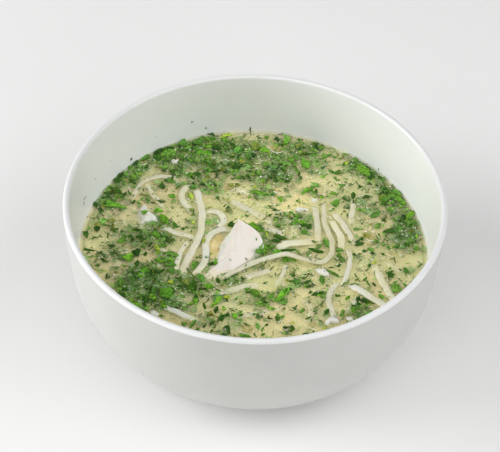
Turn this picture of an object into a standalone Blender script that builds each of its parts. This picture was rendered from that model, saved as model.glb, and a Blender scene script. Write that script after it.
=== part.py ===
"""Chicken noodle soup in a round white bowl.

The bowl is turned about the Z axis and stands on its foot ring at z = 0.
The broth fills it up to one level. Chicken and noodles float in the broth's
surface, and the broth is hollowed out around each of them.

Metres, +Z up. The eater sits towards -Y. The origin is the centre of the foot.
"""

import math

import bmesh
import bpy
from mathutils import Vector

MM = 0.001
GAP = 0.3 * MM                    # clearance between touching pieces

# Bowl
RIM_RADIUS = 80.0 * MM
BOWL_HEIGHT = 66.8 * MM
WALL = 2.8 * MM                   # at the lip, which is a half round
SEGMENTS = 64
FOOT_RADIUS = 45.0 * MM
FOOT_INNER_RADIUS = 41.0 * MM
FOOT_HEIGHT = 2.2 * MM
FOOT_EDGE = 0.5 * MM              # small chamfer on the foot's edges
RECESS_HEIGHT = 2.6 * MM          # underside of the base inside the foot
OUTER_CURVE = (3.2, 2.8)          # exponents of the outer wall's curve
OUTER_STATIONS = 10
FLOOR_RADIUS = 40.0 * MM
FLOOR_HEIGHT = 6.6 * MM
INNER_CURVE = (3.2, 3.3)
WET_STATIONS = 8                  # inner wall, below the broth's level
DRY_STATIONS = 4                  # inner wall, above it
LIP_STEPS = 4

# Contents
BROTH_LEVEL = 35.4 * MM
CHUNK_DEPTH = 5.0 * MM            # how far a chicken piece reaches down
SIDE_LEAN = 0.2                   # outward lean of a chicken piece's sides
TORN_LEAN = 0.35                  # further lean of the torn side, towards -X
CORNER_ALLOWANCE = 1.6            # grows a corner further than its edges
STATION_STEP = 4.0 * MM           # spacing of a strand's sections
NOODLE_THICKNESS = 1.6 * MM
SHRED_THICKNESS = 2.2 * MM
TIP_SCALE = 0.5                   # a strand's end against its full section

# Routes are in millimetres: x, y and height above the broth's level.
# Each strand has its width first.
NOODLES = {
    "noodle_01": (3.1, [(-26.6, 33, -0.4), (-25.4, 28, 0.1), (-23.7, 20, 0.2), (-23.3, 11, 0.2),
                        (-24.2, 4, 0.2), (-26.8, -5, 0.1), (-28.8, -12, 0), (-30.2, -20, -0.5)]),
    "noodle_02": (2.3, [(-29.4, 0, -0.2), (-31.3, -5, 0.1), (-32.4, -10, 0), (-32.8, -15, -0.5)]),
    "noodle_03": (3.0, [(-31, 36, -0.3), (-33, 31, 0.3), (-32.6, 26.5, 0), (-29, 21.5, -0.6)]),
    "noodle_04": (2.8, [(-39.5, 9.2, -0.4), (-36, 6.8, 0), (-32, 5.2, 0), (-27.6, 4.4, -0.3)]),
    "noodle_05": (2.8, [(-20.6, 20.4, -0.3), (-18.4, 20.2, 0.1), (-16.2, 19.2, 0.4),
                        (-14.4, 17.2, 0.5), (-13.6, 14.8, 0.3), (-14, 12.8, 0), (-15.2, 11, -0.3)]),
    "noodle_06": (2.6, [(-12.6, 9.6, -0.2), (-16, 8, 0.2), (-19.3, 4.6, 0.4), (-20.9, -0.5, 0.3),
                        (-20.4, -6, 0.1), (-21.3, -12.4, 0.1), (-25, -18.5, -0.4)]),
    "noodle_07": (2.2, [(31.2, 28, -0.5), (31, 21.5, 0.2), (31.2, 14.5, 0.5), (32.6, 8.4, 0.7),
                        (34.2, 2, 0.9), (33.6, -4.4, 1.2), (31, -8.8, 1.5), (27.6, -10.3, 1.9),
                        (21.5, -9.5, 2.5), (15.5, -7.5, 3), (11.5, -7.8, 3), (6.6, -9.5, 2.5),
                        (0, -12.6, 2.2), (-5.6, -15.6, 1.4), (-10.6, -18.4, 0.4)]),
    "noodle_08": (2.7, [(27.3, 24.5, -0.4), (27.7, 18, 0), (28.1, 11, 0), (28.3, 4.4, -0.4)]),
    "noodle_09": (3.0, [(34.8, 15.8, -0.3), (36.4, 11.4, 0.2), (38, 6.6, 0.3), (38, 0.6, -0.2)]),
    "noodle_10": (2.7, [(36, 20.4, -0.2), (38.6, 16, 0.3), (41, 11, 0.3), (43.2, 5.2, -0.3)]),
    "noodle_11": (2.0, [(41.3, -1.6, -0.3), (41.8, -6, 0.1), (41, -12, 0.1), (38.6, -20, -0.4)]),
    "noodle_12": (3.6, [(11.4, -0.4, 0), (14.5, 1.1, 0.5), (19.5, 2, 0.5), (24.6, 3.4, 0)]),
    "noodle_13": (3.4, [(-9.6, 27, -0.6), (-5.6, 24, -0.2), (0, 20.4, -0.3), (6.6, 15.8, -0.6)]),
    "noodle_14": (2.8, [(5.6, 10.6, -0.5), (9.4, 9, -0.1), (12.6, 6.2, -0.5)]),
    "noodle_15": (2.4, [(35.2, -21, -0.4), (33.2, -24.6, 0), (32.2, -28.6, 0), (32.2, -32.6, 0),
                        (34, -38.2, -0.5)]),
    "noodle_16": (3.0, [(42.6, -22, -0.2), (48, -26.6, 0.2), (52.6, -30.2, 0.2), (57, -34, -0.3)]),
    "noodle_17": (3.2, [(52.4, -10, -0.6), (54.2, -16, -0.2), (57, -23, -0.2), (59.6, -30, -0.6)]),
    "noodle_18": (2.5, [(-1.2, -18.6, 0.1), (2.4, -16.6, 0), (6.6, -14.4, -0.4)]),
    "noodle_19": (2.1, [(14, -12, -0.2), (12.9, -15.6, 0), (10.8, -20.6, -0.5)]),
    "noodle_20": (2.6, [(-37, -36.4, -0.4), (-31, -39.6, 0), (-24, -43.2, -0.4)]),
    "noodle_21": (2.3, [(-38, 41.6, -0.5), (-45, 41.8, -0.2), (-51.6, 38.2, -0.2),
                        (-54.6, 31, -0.5)]),
    "noodle_22": (2.4, [(-49, 35.4, -0.4), (-46.6, 30, -0.1), (-42.6, 24.4, -0.5)]),
    "noodle_23": (2.5, [(44.6, 27.4, -0.2), (43.8, 22, 0), (43.2, 17.6, -0.5)]),
}
SHREDS = {
    "chicken_shred_01": (2.4, [(18.4, 23.6, 0), (21.6, 23.2, 0.3), (24.2, 23, -0.2)]),
    "chicken_shred_02": (2.8, [(26.6, 31, 0), (27, 28, 0.2)]),
    "chicken_shred_03": (2.8, [(27.4, -12.6, 0), (30, -15, 0.4), (32.4, -16.6, 0)]),
    "chicken_shred_04": (2.2, [(-41.6, -39.4, 0), (-38.2, -42.2, 0.2)]),
    "chicken_shred_05": (2.2, [(-39.8, 52.6, 0), (-36.4, 51.4, 0.2)]),
    "chicken_shred_06": (2.4, [(30.6, -43.8, 0), (33, -41.6, 0.4), (36.4, -42.2, 0)]),
    "chicken_shred_07": (3.2, [(39.8, -41.2, 0), (41.4, -39.4, 0.3)]),
}

# Outline of each chicken piece's upper face, in millimetres as above.
CHUNKS = {
    "chicken_main": [(-7, 7.6, 8), (-4, 6.1, 7.2), (-1, 4.6, 6.2), (2, 2.4, 4.8), (3.8, -1, 3.2),
                     (2.8, -4, 2.2), (0.2, -7.4, 1.9), (-2, -10.2, 1.5), (-8, -14.4, 0.6),
                     (-13.4, -17.6, -0.2), (-18.8, -18.6, -0.8), (-18, -15.4, 0),
                     (-14.6, -10.6, 1.8), (-12.2, -6.8, 3.8), (-10.4, -3.6, 5.4),
                     (-8.8, 2.6, 7.2)],
    "chicken_side": [(-49.6, 21, 1.8), (-46.8, 18.6, 1.6), (-43.8, 15.2, 1), (-43.4, 12.6, 0.6),
                     (-46.6, 11.2, 0.8), (-49.8, 11, 0.6), (-50.8, 16, 1.2)],
}


def material(name, color, roughness, metallic=0.0):
    mat = bpy.data.materials.new(name)
    mat.use_nodes = True
    shader = mat.node_tree.nodes["Principled BSDF"]
    shader.inputs["Base Color"].default_value = (*color, 1.0)
    shader.inputs["Roughness"].default_value = roughness
    shader.inputs["Metallic"].default_value = metallic
    mat.diffuse_color = (*color, 1.0)
    return mat


def add_object(name, bm, mat=None):
    """Close a bmesh into a named object with its faces pointing out."""
    bmesh.ops.recalc_face_normals(bm, faces=bm.faces)
    mesh = bpy.data.meshes.new(name)
    bm.to_mesh(mesh)
    bm.free()
    if mat:
        mesh.materials.append(mat)
    mesh.shade_smooth()
    mesh.set_sharp_from_angle(angle=math.radians(35))
    obj = bpy.data.objects.new(name, mesh)
    bpy.context.scene.collection.objects.link(obj)
    return obj


def wall_point(angle, foot, rim, curve):
    """A point (r, z) of a bowl's wall: angle 0 is at the foot, 90 degrees at the rim."""
    power_z, power_r = curve
    rise = 1 - math.cos(angle) ** (2 / power_z)
    reach = math.sin(angle) ** (2 / power_r)
    return (foot[0] + (rim[0] - foot[0]) * reach, foot[1] + (rim[1] - foot[1]) * rise)


def wall_angle(height, foot, rim, curve):
    """The angle at which the wall reaches a height."""
    return math.acos((1 - (height - foot[1]) / (rim[1] - foot[1])) ** (curve[0] / 2))


def spaced(start, end, count):
    """Count values from start to end, with both ends."""
    return [start + (end - start) * i / (count - 1) for i in range(count)]


def outer_wall():
    foot = (FOOT_RADIUS, FOOT_HEIGHT)
    rim = (RIM_RADIUS, BOWL_HEIGHT - WALL / 2)
    angles = spaced(0, math.pi / 2, OUTER_STATIONS)
    return [wall_point(a, foot, rim, OUTER_CURVE) for a in angles]


def inner_wall():
    """The wet part up to the broth's level, and the dry part above it."""
    foot = (FLOOR_RADIUS, FLOOR_HEIGHT)
    rim = (RIM_RADIUS - WALL, BOWL_HEIGHT - WALL / 2)
    level = wall_angle(BROTH_LEVEL, foot, rim, INNER_CURVE)
    wet = [wall_point(a, foot, rim, INNER_CURVE) for a in spaced(0, level, WET_STATIONS)]
    dry = [wall_point(a, foot, rim, INNER_CURVE)
           for a in spaced(level, math.pi / 2, DRY_STATIONS + 1)]
    return wet, dry[1:]


def lip():
    """Half round from the outer wall over to the inner wall, without its ends."""
    centre = (RIM_RADIUS - WALL / 2, BOWL_HEIGHT - WALL / 2)
    return [(centre[0] + WALL / 2 * math.cos(a), centre[1] + WALL / 2 * math.sin(a))
            for a in spaced(0, math.pi, LIP_STEPS + 1)[1:-1]]


def turned(profile):
    """Turn a profile of (r, z) points, which starts and ends on the axis, about Z."""
    bm = bmesh.new()
    verts = [bm.verts.new((r, 0, z)) for r, z in profile]
    edges = [bm.edges.new(pair) for pair in zip(verts, verts[1:])]
    bmesh.ops.spin(bm, geom=verts + edges, cent=(0, 0, 0), axis=(0, 0, 1),
                   angle=math.tau, steps=SEGMENTS, use_merge=True)
    bmesh.ops.remove_doubles(bm, verts=bm.verts, dist=0.001 * MM)
    return bm


def make_bowl(mat):
    wet, dry = inner_wall()
    foot_ring = [
        (0, RECESS_HEIGHT),
        (FOOT_INNER_RADIUS - FOOT_EDGE, RECESS_HEIGHT),
        (FOOT_INNER_RADIUS, FOOT_EDGE),
        (FOOT_INNER_RADIUS + FOOT_EDGE, 0),
        (FOOT_RADIUS - FOOT_EDGE, 0),
        (FOOT_RADIUS, FOOT_EDGE),
    ]
    inside = list(reversed(wet + dry)) + [(0, FLOOR_HEIGHT)]
    return add_object("bowl", turned(foot_ring + outer_wall() + lip() + inside), mat)


def make_broth(mat):
    """The liquid follows the wet wall at a gap, with a flat top at its level."""
    wet, _ = inner_wall()
    side = [(r - GAP, min(z + GAP, BROTH_LEVEL)) for r, z in wet]
    profile = [(0, FLOOR_HEIGHT + GAP)] + side + [(0, BROTH_LEVEL)]
    return add_object("broth", turned(profile), mat)


def in_metres(point):
    x, y, height = point
    return Vector((x * MM, y * MM, height * MM + BROTH_LEVEL))


def up_by(distance):
    return Vector((0, 0, distance))


def smooth_route(route):
    """Evenly spaced points of a Catmull-Rom curve through the route's points."""
    points = [in_metres(p) for p in route]
    padded = [2 * points[0] - points[1]] + points + [2 * points[-1] - points[-2]]
    result = []
    for a, b, c, d in zip(padded, padded[1:], padded[2:], padded[3:]):
        steps = max(1, round((c - b).length / STATION_STEP))
        for i in range(steps):
            t = i / steps
            result.append(0.5 * (2 * b + (c - a) * t + (2 * a - 5 * b + 4 * c - d) * t * t
                                 + (3 * b - a - 3 * c + d) * t ** 3))
    return result + [points[-1]]


def section(width, thickness):
    """Flat six-sided section of a strand."""
    half_width, half_height = width / 2, thickness / 2
    shoulder = 0.6 * half_width
    return [(half_width, 0), (shoulder, half_height), (-shoulder, half_height),
            (-half_width, 0), (-shoulder, -half_height), (shoulder, -half_height)]


def sweep_strand(bm, route, width, thickness, margin=0.0):
    """Sweep a flat section along a route, with narrowed ends; a margin grows it all round."""
    points = smooth_route(route)
    tip = 0.35 * width + margin
    start = points[0] + (points[0] - points[1]).normalized() * tip
    end = points[-1] + (points[-1] - points[-2]).normalized() * tip
    points = [start] + points + [end]
    rings = []
    for i, point in enumerate(points):
        ahead = points[min(i + 1, len(points) - 1)] - points[max(i - 1, 0)]
        side = ahead.cross(Vector((0, 0, 1))).normalized()
        up = side.cross(ahead).normalized()
        scale = TIP_SCALE if i in (0, len(points) - 1) else 1.0
        outline = section(width * scale + 2 * margin, thickness * scale + 2 * margin)
        rings.append([bm.verts.new(point + side * s + up * u) for s, u in outline])
    for ring, following in zip(rings, rings[1:]):
        for i in range(len(ring)):
            j = (i + 1) % len(ring)
            bm.faces.new((ring[i], ring[j], following[j], following[i]))
    bm.faces.new(rings[0])
    bm.faces.new(rings[-1])


def sweep_chunk(bm, outline, margin=0.0):
    """A chicken piece: its upper face, and sides that lean out down to its underside."""
    top = [in_metres(p) for p in outline]
    centre = sum(top, Vector()) / len(top)
    bottom_height = BROTH_LEVEL - CHUNK_DEPTH - margin
    upper, lower = [], []
    for i, point in enumerate(top):
        along = top[(i + 1) % len(top)] - top[i - 1]
        outward = Vector((-along.y, along.x, 0)).normalized()
        lean = (SIDE_LEAN + TORN_LEAN * max(0, -outward.x)) * (point.z - bottom_height)
        foot = Vector((point.x, point.y, bottom_height))
        upper.append(bm.verts.new(point + outward * margin * CORNER_ALLOWANCE + up_by(margin)))
        lower.append(bm.verts.new(foot + outward * (margin * CORNER_ALLOWANCE + lean)))
    peak = bm.verts.new(centre + up_by(margin))
    floor = bm.verts.new((centre.x, centre.y, bottom_height))
    for i in range(len(top)):
        j = (i + 1) % len(top)
        bm.faces.new((peak, upper[i], upper[j]))
        bm.faces.new((upper[i], lower[i], lower[j], upper[j]))
        bm.faces.new((floor, lower[j], lower[i]))


def make_pieces(mats):
    """Every noodle, shred and chicken piece as an object of its own."""
    for strands, thickness, mat in ((NOODLES, NOODLE_THICKNESS, mats["noodle"]),
                                    (SHREDS, SHRED_THICKNESS, mats["chicken"])):
        for name, (width, route) in strands.items():
            bm = bmesh.new()
            sweep_strand(bm, route, width * MM, thickness)
            add_object(name, bm, mat)
    for name, outline in CHUNKS.items():
        bm = bmesh.new()
        sweep_chunk(bm, outline)
        add_object(name, bm, mats["chicken"])


def make_hollows():
    """The shapes cut out of the broth: every floating piece, grown by the gap."""
    bm = bmesh.new()
    for strands, thickness in ((NOODLES, NOODLE_THICKNESS), (SHREDS, SHRED_THICKNESS)):
        for width, route in strands.values():
            sweep_strand(bm, route, width * MM, thickness, GAP)
    for outline in CHUNKS.values():
        sweep_chunk(bm, outline, GAP)
    hollows = add_object("hollows", bm)
    hollows.hide_render = True
    hollows.display_type = "WIRE"
    return hollows


def cut(obj, cutter):
    boolean = obj.modifiers.new("hollows", "BOOLEAN")
    boolean.operation = "DIFFERENCE"
    boolean.solver = "EXACT"
    boolean.use_self = True
    boolean.object = cutter


def main():
    for old in list(bpy.data.objects):
        bpy.data.objects.remove(old)
    mats = {
        "glaze": material("glaze", (0.72, 0.74, 0.70), 0.25),
        "broth": material("broth", (0.52, 0.47, 0.22), 0.12),
        "noodle": material("noodle", (0.72, 0.70, 0.52), 0.35),
        "chicken": material("chicken", (0.82, 0.75, 0.70), 0.45),
    }
    make_bowl(mats["glaze"])
    broth = make_broth(mats["broth"])
    make_pieces(mats)
    cut(broth, make_hollows())


main()
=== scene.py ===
"""Looks of a bowl of chicken noodle soup.

The glazed bowl, the cloudy broth, noodles, chicken and chopped herbs are made
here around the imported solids. Places and sizes are in millimetres from the
centre of the foot, angles are in degrees, and heights are above the broth's
level, unless a comment says otherwise. A value times MM is in metres.
"""

import math
import random

import bpy
import numpy as np
from mathutils import Matrix, Quaternion, Vector, noise
from mathutils.bvhtree import BVHTree

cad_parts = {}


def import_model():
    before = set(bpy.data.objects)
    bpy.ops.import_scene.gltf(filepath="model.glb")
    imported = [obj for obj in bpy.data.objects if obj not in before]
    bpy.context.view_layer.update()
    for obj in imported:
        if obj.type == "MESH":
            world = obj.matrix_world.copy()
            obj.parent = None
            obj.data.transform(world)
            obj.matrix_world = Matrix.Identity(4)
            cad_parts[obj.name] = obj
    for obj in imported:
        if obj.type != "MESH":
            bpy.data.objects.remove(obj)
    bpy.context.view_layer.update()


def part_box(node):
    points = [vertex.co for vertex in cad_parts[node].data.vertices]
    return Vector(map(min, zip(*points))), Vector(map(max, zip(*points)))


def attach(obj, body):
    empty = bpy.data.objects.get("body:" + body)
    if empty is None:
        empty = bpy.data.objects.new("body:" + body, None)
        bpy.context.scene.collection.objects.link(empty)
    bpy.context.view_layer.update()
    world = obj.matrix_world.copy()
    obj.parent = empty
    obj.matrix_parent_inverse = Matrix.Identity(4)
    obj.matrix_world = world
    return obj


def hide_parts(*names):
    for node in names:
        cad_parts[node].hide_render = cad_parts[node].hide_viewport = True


MM = 0.001
UP = Vector((0, 0, 1))

# Bowl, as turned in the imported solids. Its heights are above the table
WALL = 2.8 * MM
FOOT_RADIUS = 45.0 * MM
FOOT_INNER_RADIUS = 41.0 * MM
FOOT_HEIGHT = 2.2 * MM
FOOT_EDGE = 0.5 * MM
RECESS_HEIGHT = 2.6 * MM
OUTER_CURVE = (3.2, 2.8)
FLOOR_RADIUS = 40.0 * MM
FLOOR_HEIGHT = 6.6 * MM
INNER_CURVE = (3.2, 3.3)
FOOT_EDGE_POINTS = 5
WALL_POINTS = 34
LIP_POINTS = 13
BOWL_SEGMENTS = 256
LIP_PAINTED_LIGHT = 0.8                 # painted light of the lip, between the outside's painted shade and the inside's painted light

# Cloudy broth: thin slabs of liquid over an opaque body. Each slab has the depths of its top and
# bottom, how much each face hides, and its roughness
SLABS = [(0.0, 0.7, 0.25, 0.12), (1.3, 2.2, 0.33, 0.5)]
SLAB_RINGS = 60
SLAB_SEGMENTS = 192
SLAB_BITE = 0.15 * MM               # how far the slabs and the body reach into the wall
BODY_BITE = 0.1 * MM
BODY_DEPTH = 3.4                    # from the surface down to the body's top
BODY_POINTS = 60
BODY_RINGS = 30
SWELL_HEIGHT = 0.12 * MM
SWELL_LENGTH = 14 * MM
MENISCUS_HEIGHT = 0.25 * MM
MENISCUS_WIDTH = 2.5 * MM
MENISCUS_RINGS = (0.8, 0.6, 0.4, 0.25, 0.12, 0)
# Green haze: the crowding of herbs at which it starts, its growth and its limit
HAZE_START = 0.22
HAZE_GAIN = 1.3
HAZE_LIMIT = 0.9

# Camera: its distance and target are in metres
VIEW_ELEVATION = 45.42
VIEW_DISTANCE = 0.52
VIEW_ROLL = 1.89
VIEW_TARGET = Vector((-1.88 * MM, 0, 47.04 * MM))
LENS = 87.3

# Softboxes: name, direction, elevation and power in watts. Their size and distance, and the
# floor's size, are in metres
LIGHTS = [("left", 180, 28, 11.0), ("left_low", 180, 12, 6.4), ("right", 0, 45, 7.4),
          ("front_left", 225, 28, 4.2), ("front_right", 315, 28, 5.8), ("top", 0, 90, 3.6)]
LIGHT_SIZE = 1.0
LIGHT_DISTANCE = 1.4
LIGHT_TARGET = Vector((0, 0, 40 * MM))
FAINT_LIGHT = (0.95, 0.97, 1.0, 1)
FAINT_STRENGTH = 0.04
FLOOR_SIZE = 6.0

# Strands float a little lower than their solids, and noodles also dip past their ends
NOODLE_THICKNESS = 1.25
NOODLE_SINK = 0.34
SHRED_THICKNESS = 2.0
SHRED_SINK = 0.4
SHRED_TEAR = 0.9
DIP_LENGTH = 2.4
DIP_DEPTH = 1.2
STRAND_STEP = 0.8
STRAND_SIDES = 12

# Width and route of each noodle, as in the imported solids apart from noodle_06's width
NOODLES = {
    "noodle_01": (3.1, [(-26.6, 33, -0.4), (-25.4, 28, 0.1), (-23.7, 20, 0.2), (-23.3, 11, 0.2),
                        (-24.2, 4, 0.2), (-26.8, -5, 0.1), (-28.8, -12, 0), (-30.2, -20, -0.5)]),
    "noodle_02": (2.3, [(-29.4, 0, -0.2), (-31.3, -5, 0.1), (-32.4, -10, 0), (-32.8, -15, -0.5)]),
    "noodle_03": (3.0, [(-31, 36, -0.3), (-33, 31, 0.3), (-32.6, 26.5, 0), (-29, 21.5, -0.6)]),
    "noodle_04": (2.8, [(-39.5, 9.2, -0.4), (-36, 6.8, 0), (-32, 5.2, 0), (-27.6, 4.4, -0.3)]),
    "noodle_05": (2.8, [(-20.6, 20.4, -0.3), (-18.4, 20.2, 0.1), (-16.2, 19.2, 0.4),
                        (-14.4, 17.2, 0.5), (-13.6, 14.8, 0.3), (-14, 12.8, 0), (-15.2, 11, -0.3)]),
    "noodle_06": (2.9, [(-12.6, 9.6, -0.2), (-16, 8, 0.2), (-19.3, 4.6, 0.4), (-20.9, -0.5, 0.3),
                        (-20.4, -6, 0.1), (-21.3, -12.4, 0.1), (-25, -18.5, -0.4)]),
    "noodle_07": (2.2, [(31.2, 28, -0.5), (31, 21.5, 0.2), (31.2, 14.5, 0.5), (32.6, 8.4, 0.7),
                        (34.2, 2, 0.9), (33.6, -4.4, 1.2), (31, -8.8, 1.5), (27.6, -10.3, 1.9),
                        (21.5, -9.5, 2.5), (15.5, -7.5, 3), (11.5, -7.8, 3), (6.6, -9.5, 2.5),
                        (0, -12.6, 2.2), (-5.6, -15.6, 1.4), (-10.6, -18.4, 0.4)]),
    "noodle_08": (2.7, [(27.3, 24.5, -0.4), (27.7, 18, 0), (28.1, 11, 0), (28.3, 4.4, -0.4)]),
    "noodle_09": (3.0, [(34.8, 15.8, -0.3), (36.4, 11.4, 0.2), (38, 6.6, 0.3), (38, 0.6, -0.2)]),
    "noodle_10": (2.7, [(36, 20.4, -0.2), (38.6, 16, 0.3), (41, 11, 0.3), (43.2, 5.2, -0.3)]),
    "noodle_11": (2.0, [(41.3, -1.6, -0.3), (41.8, -6, 0.1), (41, -12, 0.1), (38.6, -20, -0.4)]),
    "noodle_12": (3.6, [(11.4, -0.4, 0), (14.5, 1.1, 0.5), (19.5, 2, 0.5), (24.6, 3.4, 0)]),
    "noodle_13": (3.4, [(-9.6, 27, -0.6), (-5.6, 24, -0.2), (0, 20.4, -0.3), (6.6, 15.8, -0.6)]),
    "noodle_14": (2.8, [(5.6, 10.6, -0.5), (9.4, 9, -0.1), (12.6, 6.2, -0.5)]),
    "noodle_15": (2.4, [(35.2, -21, -0.4), (33.2, -24.6, 0), (32.2, -28.6, 0), (32.2, -32.6, 0),
                        (34, -38.2, -0.5)]),
    "noodle_16": (3.0, [(42.6, -22, -0.2), (48, -26.6, 0.2), (52.6, -30.2, 0.2), (57, -34, -0.3)]),
    "noodle_17": (3.2, [(52.4, -10, -0.6), (54.2, -16, -0.2), (57, -23, -0.2), (59.6, -30, -0.6)]),
    "noodle_18": (2.5, [(-1.2, -18.6, 0.1), (2.4, -16.6, 0), (6.6, -14.4, -0.4)]),
    "noodle_19": (2.1, [(14, -12, -0.2), (12.9, -15.6, 0), (10.8, -20.6, -0.5)]),
    "noodle_20": (2.6, [(-37, -36.4, -0.4), (-31, -39.6, 0), (-24, -43.2, -0.4)]),
    "noodle_21": (2.3, [(-38, 41.6, -0.5), (-45, 41.8, -0.2), (-51.6, 38.2, -0.2),
                        (-54.6, 31, -0.5)]),
    "noodle_22": (2.4, [(-49, 35.4, -0.4), (-46.6, 30, -0.1), (-42.6, 24.4, -0.5)]),
    "noodle_23": (2.5, [(44.6, 27.4, -0.2), (43.8, 22, 0), (43.2, 17.6, -0.5)]),
}
# Width and route of each shred. The first two lie 0.4 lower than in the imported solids
SHREDS = {
    "chicken_shred_01": (2.4, [(18.4, 23.6, -0.4), (21.6, 23.2, -0.1), (24.2, 23, -0.6)]),
    "chicken_shred_02": (2.8, [(26.6, 31, -0.4), (27, 28, -0.2)]),
    "chicken_shred_03": (2.8, [(27.4, -12.6, 0), (30, -15, 0.4), (32.4, -16.6, 0)]),
    "chicken_shred_04": (2.2, [(-41.6, -39.4, 0), (-38.2, -42.2, 0.2)]),
    "chicken_shred_05": (2.2, [(-39.8, 52.6, 0), (-36.4, 51.4, 0.2)]),
    "chicken_shred_06": (2.4, [(30.6, -43.8, 0), (33, -41.6, 0.4), (36.4, -42.2, 0)]),
    "chicken_shred_07": (3.2, [(39.8, -41.2, 0), (41.4, -39.4, 0.3)]),
}
# Colours of the palest strands, and of the others: a darker copy that is painted shade, with a
# slightly yellower tone
PALE = [(242, 236, 202), (247, 245, 222), (250, 251, 241)]
SHADED_NOODLE = [(226, 221, 190), (232, 230, 209), (237, 238, 228)]
PALE_NOODLES = ("noodle_01", "noodle_02", "noodle_03", "noodle_04", "noodle_05", "noodle_06",
                "noodle_09", "noodle_12", "noodle_16", "noodle_17", "noodle_20", "noodle_22")
# Noodles that lie under the surface: width, route
SUNK_NOODLES = [
    (2.4, [(21, -30, -1.2), (24, -33, -0.9), (25, -37, -0.9), (22, -42, -1.4)]),
    (2.2, [(44, -27, -1.4), (42.6, -31, -1.1), (40, -35, -1.6)]),
    (2.6, [(-55, -3, -1.6), (-57, -10, -1.2), (-60, -16, -1.8)]),
    (2.4, [(31, 43, -1.9), (32.4, 38, -1.5), (31.2, 33, -1.8)]),
    (2.6, [(-43, 0, -1.6), (-38.6, -5, -1.0), (-34.6, -8.6, -1.4)]),
    (3.0, [(-19, -29.5, -1.3), (-8, -25.6, -0.9), (3, -22, -1.3)]),
    (2.6, [(-12, 38, -2), (-4, 34, -1.5), (6, 33, -2)]),
    (2.6, [(8, 24, -2), (14, 20, -1.6), (18, 13, -1.8), (17, 7, -2.2)]),
    (2.4, [(-60, 18, -2), (-55, 8, -1.8), (-49, 2, -2.2)]),
    (2.6, [(0, 58, -2.2), (10, 52, -1.8), (21, 47, -2.2)]),
    (2.6, [(50, 40, -2.2), (47, 30, -1.8), (52, 20, -2.2)]),
    (2.8, [(-10, -40, -2.1), (2, -38, -1.7), (13, -33, -2.2)]),
    (2.4, [(-58, 26, -2.2), (-52, 20, -1.8), (-46, 22, -2.2)]),
    (2.6, [(56, -2, -2), (60, -9, -1.5), (66, -13, -2)]),
    (2.4, [(17, -17, -2), (24, -21, -1.6), (30, -28, -2.1)]),
    (2.6, [(-3, 9, -2.2), (8, 2, -1.8), (19, -1, -2.4)]),
    (2.6, [(-45, -8, -2.2), (-40, -14, -1.8), (-34, -25, -2.2)]),
    (2.6, [(-22, -58, -1.6), (-8, -62, -0.6), (8, -60, -0.4), (22, -63, -1.6)]),
    (2.8, [(30, -52, -1.6), (40, -55, -0.5), (48, -50, -1.4)]),
    (2.6, [(-50, -44, -1.6), (-44, -52, -0.6), (-33, -58, -1.6)]),
]

# Outline of each chicken piece's upper face
CHUNKS = {
    "chicken_main": [(-7, 7.6, 8), (-4, 6.1, 7.2), (-1, 4.6, 6.2), (2, 2.4, 4.8), (3.8, -1, 3.2),
                     (2.8, -4, 2.2), (0.2, -7.4, 1.9), (-2, -10.2, 1.2), (-8, -14.8, 0.1),
                     (-13, -18, -0.85), (-17.6, -19.6, -1.05), (-20.8, -18.4, -1.05),
                     (-18.4, -14, -0.85), (-15, -10, 1.1), (-12.2, -6.8, 3.6), (-10.4, -3.6, 5.2),
                     (-8.8, 2.6, 7.2)],
    "chicken_side": [(-49.6, 21, 1.7), (-48.2, 19.6, 1.6), (-47.6, 17.2, 1.2), (-45.4, 16.4, 0.8),
                     (-43.6, 14.4, 0.4), (-43.2, 12.8, 0.1), (-45.4, 13.2, 0.2),
                     (-46.8, 12.2, -0.3), (-48.2, 12.4, 0.2), (-50, 10.8, 0.1), (-49.2, 14, 0.6),
                     (-50.4, 16.4, 0.9)],
}
TOP_ROUGHNESS = {"chicken_main": 0.12, "chicken_side": 0.6}
CHUNK_DEPTH = 5.0
CHUNK_STEP = 0.45
SIDE_LEAN = 0.2
TORN_LEAN = 0.62
TOP_SWELL = 0.35
TOP_RINGS = 15
SIDE_RINGS = 12
SKIN = (-16.6, 0.4, 3.4, 7.6, -14)   # centre, half sizes and turn
SKIN_HALF = 1.1                      # half its thickness
SKIN_DEPTH = 1.45                    # of its middle
SKIN_RINGS = 10
SKIN_SEGMENTS = 28


# ---------------------------------------------------------------- herbs: tables

# Display colours of the chopped herbs
TONES = {"lime": (164, 190, 66), "bright": (108, 166, 46), "mid": (92, 142, 52),
         "dark": (50, 92, 22), "olive": (118, 132, 50), "grey": (114, 160, 90),
         "soft": (118, 172, 72), "mist": (128, 160, 116), "dried": (44, 62, 24)}

# Outlines of the smaller leaf pieces, by how often each is drawn
KINDS = ("chip", "chip", "lobed", "strip", "blade", "oval")
LEAF_SCALE = 1.12                    # of the larger leaf pieces

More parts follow.
